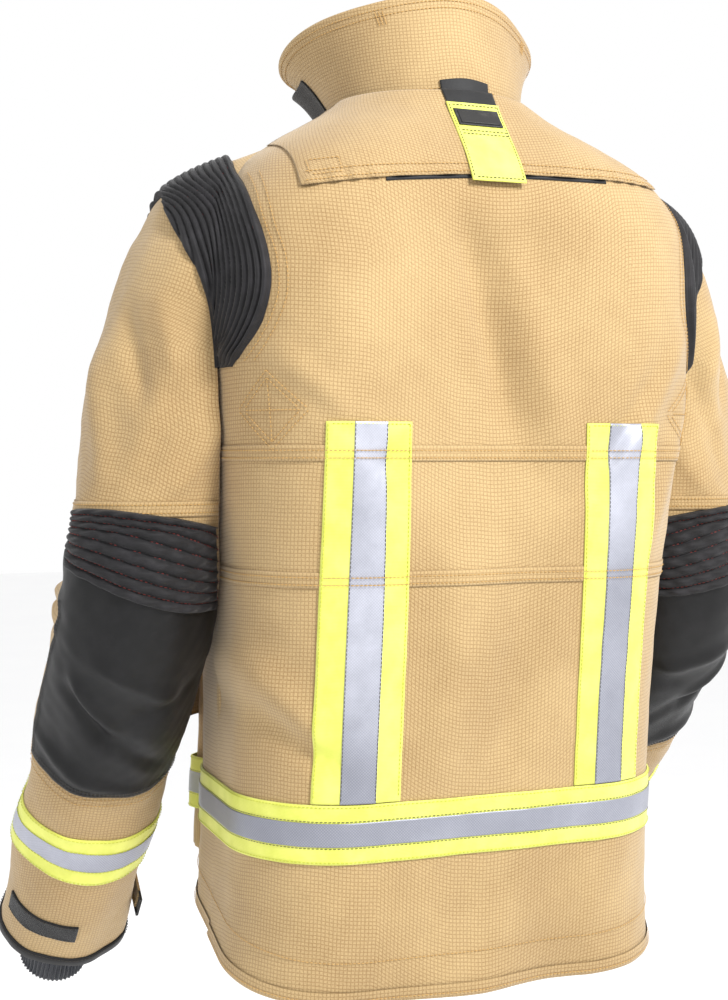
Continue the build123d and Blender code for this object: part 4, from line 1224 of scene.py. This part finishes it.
sleeve_meshes = {}
for side, sign in SIDES:
    down, outward, rear, length = ARM[side]
    at_shoulder, at_elbow, on_forearm = bend_shoulder(side), bend_elbow(side), on(f"{side}_forearm")
    arm = lambda turn, s, lift, side=side: sleeve_point(side, s, turn, lift)
    # upper sleeve, from the armhole to the seam above the ribs; then elbow and forearm in one piece
    made = []
    for name, s_from, s_to, rows, material, settle, nodes, keep in (
        ("upper_cloth", -0.418, RIB_TOP, 130, TAN, at_shoulder, ("upper_sleeve",), outside_body),
        ("upper_quilt", -0.26, RIB_TOP, 70, LINING, at_shoulder, ("upper_sleeve_liner",), None),
        ("forearm_cloth", RIB_TOP, length, 190, TAN, at_elbow, ("forearm_sleeve", "elbow_sleeve"), None),
        ("forearm_quilt", RIB_TOP, length - 0.004, 150, LINING, at_elbow, ("forearm_liner",), None),
    ):
        cloth = material is TAN
        s, turn = np.linspace(s_from, s_to, rows)[:, None], np.linspace(0, 2 * math.pi, 241)[None, :]
        points = sleeve_point(side, s, turn, 0.0 if cloth else LINER_LIFT)
        flip, nodes = (sign < 0) == cloth, [f"{side}_{node}" for node in nodes]
        made.append(make_grid(f"{side}_{name}", points, material, flip, settle, *nodes, keep=keep))
    sleeve_meshes[side] = (made[0], made[2])

    seam_a = Seams(f"{side}_shoulder_thread", THREAD_TAN, at_shoulder)
    seam_b = Seams(f"{side}_elbow_thread", THREAD_TAN, at_elbow)
    for s in (RIB_TOP - 0.004, RIB_TOP - 0.011):
        seam_a.sew(arm, ROUND, s, 0.0014)
    lay_on(
        f"{side}_rib_lap", arm, (0, 2 * math.pi, 200), (RIB_TOP - 0.014, RIB_TOP - 0.0005, 8),
        0.0002, 0.0002 + 0.0010, TAN, sign < 0, at_shoulder,
    )
    for offset in (-0.04, 0.05):
        seam_b.sew(arm, UNDER + offset, (RIB_TOP + 0.004, length - 0.014, 400), 0.0005)

    # ribs over the back half of the elbow: a lens of padded rolls
    ribs_turn = np.linspace(RIB_FROM, RIB_TO, 150)
    a, b = np.meshgrid(ribs_turn, np.linspace(0, 1, 130))
    middle, half, full = rib_lens(a)
    rolls = np.abs(np.sin(math.pi * (b * RIB_COUNT)))
    edge = ramp(b, 0.0, 0.03) * (1 - ramp(b, 0.97, 1.0)) * ramp(full, 0.0, 0.85)
    height = 0.0004 + edge * (0.0008 + 0.0056 * rolls**0.55) * (1 + 0.12 * np.sin(a * 23 + b * 40))
    points = sleeve_point(side, middle + (b - 0.5) * 2 * half, a, height)
    ribs = make_grid(f"{side}_rib_cloth", points, PAD, sign < 0, at_elbow, f"{side}_elbow_ribs")
    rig.padded(ribs, 0.8)
    seam_red = Seams(f"{side}_rib_thread", THREAD_RED, at_elbow)
    middle, half, _ = rib_lens(ribs_turn)
    for k in range(1, RIB_COUNT):
        line_s = middle + (k / RIB_COUNT - 0.5) * 2 * half
        seam_red.sew(arm, ribs_turn[8:-8], line_s[8:-8], 0.0019, 0.0030, 0.0014, 0.0005)
    seam_red.finish()

    # elbow patch below the ribs
    def patch_at(turn, share, lift, arm=arm):
        middle, half, _ = rib_lens(turn)
        top = middle + half - 0.003
        return arm(turn, top + (PATCH_END - top) * share, lift)

    lay_on(
        f"{side}_patch_cloth", patch_at, (math.radians(2), math.radians(178), 150), (0, 1, 110),
        0.0003, 0.0003 + 0.0016, PATCH, sign < 0, at_elbow, f"{side}_elbow_patch",
    )
    seam_dark = Seams(f"{side}_patch_thread", THREAD_DARK, at_elbow)
    for angle in (5, 7.5, 172.5, 175):
        seam_dark.sew(arm, math.radians(angle), (RIB_LOW + 0.012, PATCH_END - 0.005, 200), 0.0022)
    for s in (PATCH_END - 0.0065, PATCH_END - 0.0025):
        seam_dark.sew(arm, np.radians(np.linspace(4, 176, 160)), s, 0.0022)
    seam_dark.finish()
    for s in (PATCH_END + 0.005, PATCH_END + 0.012):
        seam_b.sew(arm, ROUND, s, 0.0006)
    seam_a.finish()
    seam_b.finish()

    # tape round the forearm
    seam_c = Seams(f"{side}_cuff_thread", THREAD_NEON, on_forearm)
    tape_mid = length - 0.150
    for kind, half, lift, thick, material, node in (
        ("tape", 0.0285, 0.0004, 0.0013, NEON, f"{side}_sleeve_tape"),
        ("film", 0.0110, 0.0018, 0.0006, SILVER_FILM, f"{side}_sleeve_tape_silver"),
    ):
        lay_on(
            f"{side}_arm_{kind}", arm, (0, 2 * math.pi, 260), (tape_mid - half, tape_mid + half, 20),
            lift, lift + thick, material, sign < 0, on_forearm, node,
        )
    for offset, lift in ((-0.0268, 0.0020), (0.0268, 0.0020), (-0.0118, 0.0021), (0.0118, 0.0021)):
        seam_c.sew(arm, ROUND, tape_mid + offset, lift)
    seam_c.finish()

    turn = np.linspace(0, 2 * math.pi, 241)
    points = np.stack([sleeve_point(side, length + s, turn, lift) for s, lift in BINDING])
    make_grid(f"{side}_binding_cloth", points, WEB, sign < 0, on_forearm, f"{side}_cuff_binding")
    seam_d = Seams(f"{side}_binding_thread", THREAD_DARK, on_forearm)
    seam_d.sew(arm, ROUND, length - 0.0095, 0.0022)

    # cuff strip on the outer back
    lay_on(
        f"{side}_strip_cloth", arm, np.radians(np.linspace(14, 88, 60)), (length - 0.062, length - 0.040, 14),
        0.0003, 0.0003 + 0.0018, HOOK, sign < 0, on_forearm, f"{side}_cuff_strip",
    )
    for s in (length - 0.0605, length - 0.0415):
        seam_d.sew(arm, np.radians(np.linspace(15, 87, 80)), s, 0.0023)
    seam_d.finish()

    # knitted wristlet, its ribs running down the arm
    s = np.linspace(length - 0.058, length + 0.056, 60)[:, None]
    turn = np.linspace(0, 2 * math.pi, 481)[None, :]
    stops = [length - 0.060, length - 0.011, length + 0.012, length + 0.058]
    radius = np.interp(s, stops, [0.0525, 0.0352, 0.0338, 0.0330])
    radius = radius + 0.0009 * np.cos(turn * 48) + 0.0010 * np.sin(s * 150) * np.sin(turn * 2 + 1)
    sides = []
    for r in (radius, radius - 0.0028):
        fore = ELBOW[side] + down * s[..., None] + outward * (r * np.cos(turn))[..., None]
        sides.append(fore + rear * (r * np.sin(turn))[..., None])
    points = np.concatenate([sides[0], sides[1][::-1]], 0)
    make_grid(f"{side}_knit_cuff", points, KNIT, sign < 0, on_forearm, f"{side}_wristlet")

    # cuff tab: a folded tan strap with a black tip, on the side next to the body
    mid_s = length - 0.050
    face = FOREARM_RADIUS + (CUFF_RADIUS - FOREARM_RADIUS) * mid_s / length + 0.0012

    def tab_surface(y, share, lift, side=side, mid=mid_s, out=face):
        down, outward, rear, _ = ARM[side]
        y, share = np.broadcast_arrays(np.asarray(y, float), np.asarray(share, float))
        at = ELBOW[side] + down * (mid + (share - 0.5) * 0.0235)[..., None]
        return at - outward * (out + lift) + rear * y[..., None]

    tab = f"{side}_cuff_tab"
    for part, y0, y1, material, nodes in (
        ("cloth", -0.0095, 0.024, TAN, (tab,)), ("tip", 0.0235, 0.0355, HOOK, ())
    ):
        lay_on(
            f"{side}_tab_{part}", tab_surface, (y0, y1, 24), (0, 1, 12),
            0.0001, 0.0026, material, sign > 0, on(tab), *nodes,
        )
    tab_thread = Seams(f"{side}_tab_thread", THREAD_TAN, on(tab))
    for share in (0.1, 0.9):
        tab_thread.sew(tab_surface, (-0.008, 0.022, 30), share, 0.0028)
    tab_thread.finish()

for seams in (seams_tan, seams_dark, seams_neon):
    seams.finish()

# ------------------------------------------------------------------ shoulder pads
# A ribbed pad over each shoulder, laid on the body and sleeve by looking at them; its edges by z and x.
PAD_INNER = (
    (-0.262, 0.224), (-0.250, 0.216), (-0.227, 0.205), (-0.199, 0.196), (-0.165, 0.196),
    (-0.131, 0.203), (-0.101, 0.205), (-0.083, 0.204), (-0.060, 0.198),
)
PAD_OUTER = (
    (-0.262, 0.228), (-0.250, 0.229), (-0.227, 0.230), (-0.199, 0.235), (-0.161, 0.248),
    (-0.130, 0.262), (-0.100, 0.262), (-0.060, 0.255),
)
pad_z, pad_in = np.array(PAD_INNER).T
pad_z_out, pad_out = np.array(PAD_OUTER).T
PAD_TURNS, PAD_ACROSS, PAD_PITCH = 150, 84, 0.0064


def surface_tree(*things):
    points, faces = [], []
    for thing in things:
        base = len(points)
        points += [tuple(v.co) for v in thing.data.vertices]
        faces += [tuple(i + base for i in p.vertices) for p in thing.data.polygons]
    return BVHTree.FromPolygons(points, faces)


def pad_path(q):
    """y and z that the pad is looked at from and towards, and its height; q 0 back tip, 1 front tip."""
    low, top, reach = -0.254, -0.120, 0.22
    straight, over = top - low, math.pi * 0.10
    run = q * (2 * straight + over)
    if run < straight:
        z = low + run
        return np.array((reach, z)), np.array((0.0, z)), z
    if run > straight + over:
        z = top - (run - straight - over)
        return np.array((-reach, z)), np.array((0.0, z)), z
    turn = (run - straight) / over * math.pi
    at = np.array((reach * math.cos(turn), top + reach * math.sin(turn)))
    return at, np.array((0.015, top)), top + 0.06 * math.sin(turn)


def lay_pad(tree, sign):
    """Points of the pad's floor on the cloth, and the ways in which it was looked at."""
    base, outs = np.zeros((2, PAD_TURNS, PAD_ACROSS, 3))
    for i in range(PAD_TURNS):
        q = i / (PAD_TURNS - 1)
        eye, target, level = pad_path(q)
        ease = ramp(q, 0.5, 0.75)
        inner = smooth_curve(pad_z, pad_in, level) - 0.012 * ease
        outer = smooth_curve(pad_z_out, pad_out, level) - 0.004 * ease
        way = Vector((0, *(target - eye))).normalized()
        for j in range(PAD_ACROSS):
            start = Vector((sign * (inner + (outer - inner) * j / (PAD_ACROSS - 1)), *eye))
            hit = tree.ray_cast(start, way)[0]
            if hit is None or abs(hit.y) > 0.20 or (hit - start).length > 0.24:
                hit = tree.find_nearest(start + way * 0.20)[0]
            base[i, j], outs[i, j] = hit, -np.array(way)
    # smoothed, so that the pad bridges the seam under it
    for _ in range(50):
        for rim in (0, -1):
            base[1:-1, rim] = (base[:-2, rim] + base[2:, rim] + 2 * base[1:-1, rim]) / 4
        around = (base[:-2, 1:-1] + base[2:, 1:-1] + base[1:-1, :-2] + base[1:-1, 2:]) / 4
        base[1:-1, 1:-1] = base[1:-1, 1:-1] * 0.4 + around * 0.6
    return base, outs


for side, sign in SIDES:
    base, outs = lay_pad(surface_tree(*sleeve_meshes[side], back_cloth, front_cloths[side]), sign)
    normals = np.cross(np.gradient(base, axis=1), np.gradient(base, axis=0))
    normals /= np.maximum(np.linalg.norm(normals, axis=-1, keepdims=True), 1e-9)
    normals = normals * np.sign((normals * outs).sum(-1, keepdims=True))
    steps = np.linalg.norm(np.diff(base, axis=1), axis=-1)
    across = np.concatenate([np.zeros((PAD_TURNS, 1)), np.cumsum(steps, 1)], 1)
    total = across[:, -1:]
    q = np.linspace(0, 1, PAD_TURNS)[:, None]
    rolls = np.abs(np.sin(math.pi * across / PAD_PITCH))
    edge = ramp(across, 0.0, 0.0025) * (1 - ramp(across - total, -0.0025, 0.0))
    edge = edge * ramp(q, 0.0, 0.02) * (1 - ramp(q, 0.98, 1.0))
    height = 0.0020 + edge * (0.0010 + 0.0048 * rolls**0.55)
    points = widen(base + normals * height[..., None], 1)
    set_ring(points, widen(base - normals * 0.002, 1), 0)
    uv = widen(np.stack([across, np.broadcast_to(q * 0.42, across.shape)], -1), 1)
    settle, node = bend_shoulder(side), f"{side}_shoulder_pad"
    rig.padded(make_grid(f"{side}_pad_cloth", points, PAD, sign > 0, settle, node, uv=uv), 0.8)

    def laid(a, b, lift, base=base, normals=normals):
        row = np.clip(np.round(b * (PAD_TURNS - 1)).astype(int), 0, PAD_TURNS - 1)
        column = np.clip(np.round(a * (PAD_ACROSS - 1)).astype(int), 0, PAD_ACROSS - 1)
        return base[row, column] + normals[row, column] * lift

    pad_seams = Seams(f"{side}_pad_thread", THREAD_RED, settle)
    for k in range(1, 13):
        share = k * PAD_PITCH / total[:, 0]
        rows = np.nonzero((share < 0.93) & (total[:, 0] > 0.024))[0]
        rows = rows[(rows > 10) & (rows < PAD_TURNS - 11)]
        for run in np.split(rows, np.nonzero(np.diff(rows) > 1)[0] + 1):
            if len(run) > 8:
                pad_seams.sew(laid, share[run], run / (PAD_TURNS - 1), 0.0036, 0.0030, 0.0014, 0.0005)
    pad_seams.finish()

edge_seams = Seams("pad_edge_thread", THREAD_TAN, on_torso)
edge_z = np.linspace(-0.250, -0.085, 120)
for side, sign in SIDES:
    for offset in (0.0035, 0.0095):
        x = sign * (smooth_curve(pad_z, pad_in, edge_z) - offset)
        edge_seams.sew(back_by_x, x, edge_z, 0.0006)
edge_seams.finish()

# ------------------------------------------------------------------ front zip
FRONT_DOWN = np.array((0.0, -math.sin(FRONT_ANGLE), -math.cos(FRONT_ANGLE)))
FRONT_OUT = np.array((0.0, -math.cos(FRONT_ANGLE), math.sin(FRONT_ANGLE)))
FRONT_START = np.array((0.0, FRONT_TOP_Y, FRONT_TOP_Z))
chain_low, chain_high = ((z - FRONT_TOP_Z) / -FRONT_DOWN[2] for _, _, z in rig.box("zip_chain"))


def front_plane(x, up, lift):
    """Point on the flat front: x across, up along it, lift out of it."""
    x, up = np.broadcast_arrays(np.asarray(x, float), np.asarray(up, float))
    base = FRONT_START - FRONT_DOWN * up[..., None] + FRONT_OUT * lift
    base[..., 0] = base[..., 0] + x
    return base


def guard_point(x, up, lift):
    wavy = lift - 0.0012 * (1 + np.sin(up * 40))
    return front_plane(x, up, 0) + FRONT_OUT * wavy[..., None]


points, faces = [], []
corners = np.array([(x, u, l) for x in (0, 1) for u in (-1, 1) for l in (-1, 1)], float)
box_faces = np.array([(0, 1, 3, 2), (4, 6, 7, 5), (0, 4, 5, 1), (2, 3, 7, 6), (0, 2, 6, 4), (1, 5, 7, 3)])
for k, up in enumerate(np.arange(chain_low + 0.002, chain_high - 0.002, 0.0019)):
    sign = 1 if k % 2 else -1
    tooth = corners * np.array((sign * 0.0030, 0.00072, 0.0011)) + np.array((-sign * 0.0008, up, -0.0028))
    points.append(front_plane(tooth[:, 0], tooth[:, 1], 0.0) + FRONT_OUT * tooth[:, 2:3])
    faces.append(box_faces + k * 8)
points = np.concatenate(points)
teeth = make_object("zip_teeth", points, np.concatenate(faces), points[:, ::2], PLASTIC)
on_torso(teeth)
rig.replaces(teeth, "zip_chain")
for letter, sign, nodes in (("l", 1, ("zip_tapes",)), ("r", -1, ())):
    lay_on(
        f"zip_tape_{letter}", front_plane, (sign * 0.0025, sign * 0.0226, 14), (chain_high, chain_low, 200),
        -0.0036, -0.0026, WEB, sign < 0, on_torso, *nodes,
    )
lay_on(
    "zip_guard_cloth", guard_point, (-0.015, 0.043, 20), (chain_high, chain_low, 160),
    -0.0095, -0.0070, TAN_IN, False, on_torso, "zip_guard",
)
column = np.linspace(-0.001, -0.70, 500) * 0.98 - 0.012
for side, sign in SIDES:
    for x in (0.0125, 0.0185):
        zip_seams = Seams(f"{side}_zip_thread_{round(x * 10000)}", THREAD_TAN, on_torso)
        zip_seams.sew(front_by_x, sign * x, column, 0.0006)
        zip_seams.finish()

# hang loop inside the neck
loop_low, loop_high = (np.array(v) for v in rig.box("hang_loop"))


def loop_point(q, share, lift):
    q, share = np.broadcast_arrays(np.asarray(q, float), np.asarray(share, float))
    x = q * (loop_high[0] - loop_low[0]) / 2
    y = loop_low[1] + 0.0015 + (loop_high[1] - loop_low[1] - 0.002) * q * q - lift
    z = loop_low[2] + (loop_high[2] - loop_low[2]) * share
    return np.stack([x, y, z], -1)


lay_on(
    "hang_loop_tape", loop_point, (-1, 1, 40), (0, 1, 8), -0.0016, 0.0004, WEB, False, on_torso, "hang_loop"
)

for node in ("zip_slider", "zip_pull"):
    for holder in frame["nodes"][node].material_slots:
        holder.material = METAL

# ------------------------------------------------------------------ sheets
SLOTS = {
    TAN: "ripstop", TAN_IN: "ripstop", NEON: "neon", SILVER_FILM: "silver", PAD: "pad", PATCH: "patch",
    HOOK: "hook_loop", WEB: "webbing", KNIT: "knit", LINING: "liner", BADGE: "badge",
    PLASTIC: "zip_plastic", METAL: "zip_metal", COLLAR_IN: "liner",
    THREAD_TAN: "ripstop", THREAD_RED: "pad", THREAD_DARK: "patch", THREAD_NEON: "neon",
}
FOLDED = ("pocket_cloth", "knit_cuff", "collar_cloth", "collar_inside", "hem_roll", "binding_cloth")
HUNG = ("back_cloth", "back_quilt", "front_cloth", "front_quilt")
NOT_SHEETS = ("thread", "teeth", "badge", "pad_cloth", "rib_cloth", "tab_tip")
LEAST_SIDE, LEAST_SHARE = 0.01, 0.31


def flat_size(mesh):
    uv = np.zeros(len(mesh.loops) * 2)
    mesh.uv_layers["cloth"].data.foreach_get("uv", uv)
    uv = uv.reshape(-1, 2)
    width, long = (float(v) for v in np.maximum(uv.max(0) - uv.min(0), LEAST_SIDE))
    area = float(sum(p.area for p in mesh.polygons))
    return width, long, min(max(area, LEAST_SHARE * width * long), width * long)


for thing in list(bpy.context.scene.objects):
    if thing.type != "MESH" or not thing.data.materials or thing.data.materials[0] not in SLOTS:
        continue
    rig.slot(thing, SLOTS[thing.data.materials[0]])
    if thing.name in frame["nodes"] or any(word in thing.name for word in NOT_SHEETS):
        continue
    width, long, area = flat_size(thing.data)
    held = "folded" if any(word in thing.name for word in FOLDED) else "stretched"
    if thing.name.endswith(HUNG):
        held = "hung"
    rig.sheet(thing, flat=(width, long), held=held, area=area)

# ------------------------------------------------------------------ floor, light and camera
def floor_material():
    m = Shader("pale_floor")
    cloud, grain = m.noise(3.0, 4.0, 0.6), m.noise(120.0, 3.0, 0.6)
    m.bump(grain, 0.0002, 0.3)
    pale = m.mix(cloud, srgb(246, 246, 247), srgb(250, 250, 250))
    return m.finish(pale, m.span(grain, 0.3, 0.7, 0.7, 0.85))


FLOOR_Z, FLOOR_HALF = -1.45, 14
a, b = np.meshgrid(*[np.linspace(-FLOOR_HALF, FLOOR_HALF, 30)] * 2)
floor = np.stack([a, b, np.full_like(a, FLOOR_Z)], -1)
make_grid("floor", floor, floor_material(), False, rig.stage, uv=floor[..., :2])

VIEW = math.radians(158)
TOWARDS = Vector((math.sin(VIEW), -math.cos(VIEW), 0))
ACROSS = Vector((math.cos(VIEW), math.sin(VIEW), 0))
scene = bpy.context.scene
eye = bpy.data.cameras.new("camera")
eye.lens, eye.sensor_width = 56.2, 36
eye.shift_x, eye.shift_y = -0.06, -0.043
camera = bpy.data.objects.new("camera", eye)
camera.location = TOWARDS * 1.5 + Vector((0, 0, -0.33))
camera.rotation_euler = (math.pi / 2, 0, VIEW)
scene.collection.objects.link(camera)
scene.camera = camera

world = bpy.data.worlds.new("studio")
world.use_nodes = True
world.node_tree.nodes["Background"].inputs["Color"].default_value = (1, 1, 1, 1)
world.node_tree.nodes["Background"].inputs["Strength"].default_value = 1.0
scene.world = world


def area_light(name, offset, size, power):
    """A square light, offset from the coat's middle and aimed at it."""
    lamp = bpy.data.lights.new(name, "AREA")
    lamp.shape, lamp.size, lamp.energy = "SQUARE", size, power
    thing = bpy.data.objects.new(name, lamp)
    thing.location = TARGET + offset
    thing.rotation_euler = (TARGET - thing.location).to_track_quat("-Z", "Y").to_euler()
    scene.collection.objects.link(thing)


TARGET = Vector((0, 0, -0.4))
area_light("key", TOWARDS * 1.6 + ACROSS * 1.3 + Vector((0, 0, 1.5)), 0.6, 74)
area_light("side", TOWARDS * 0.5 - ACROSS * 2.2 + Vector((0, 0, 0.6)), 1.4, 3)
area_light("front", TOWARDS * -2.4 + Vector((0, 0, 1.0)), 1.6, 22)
scene.view_settings.view_transform = "Standard"

with open("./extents.json", "w") as out:
    NEW_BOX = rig.bounds()
    json.dump({"cad": [list(v) for v in CAD_BOX], "visual": [list(v) for v in NEW_BOX]}, out)
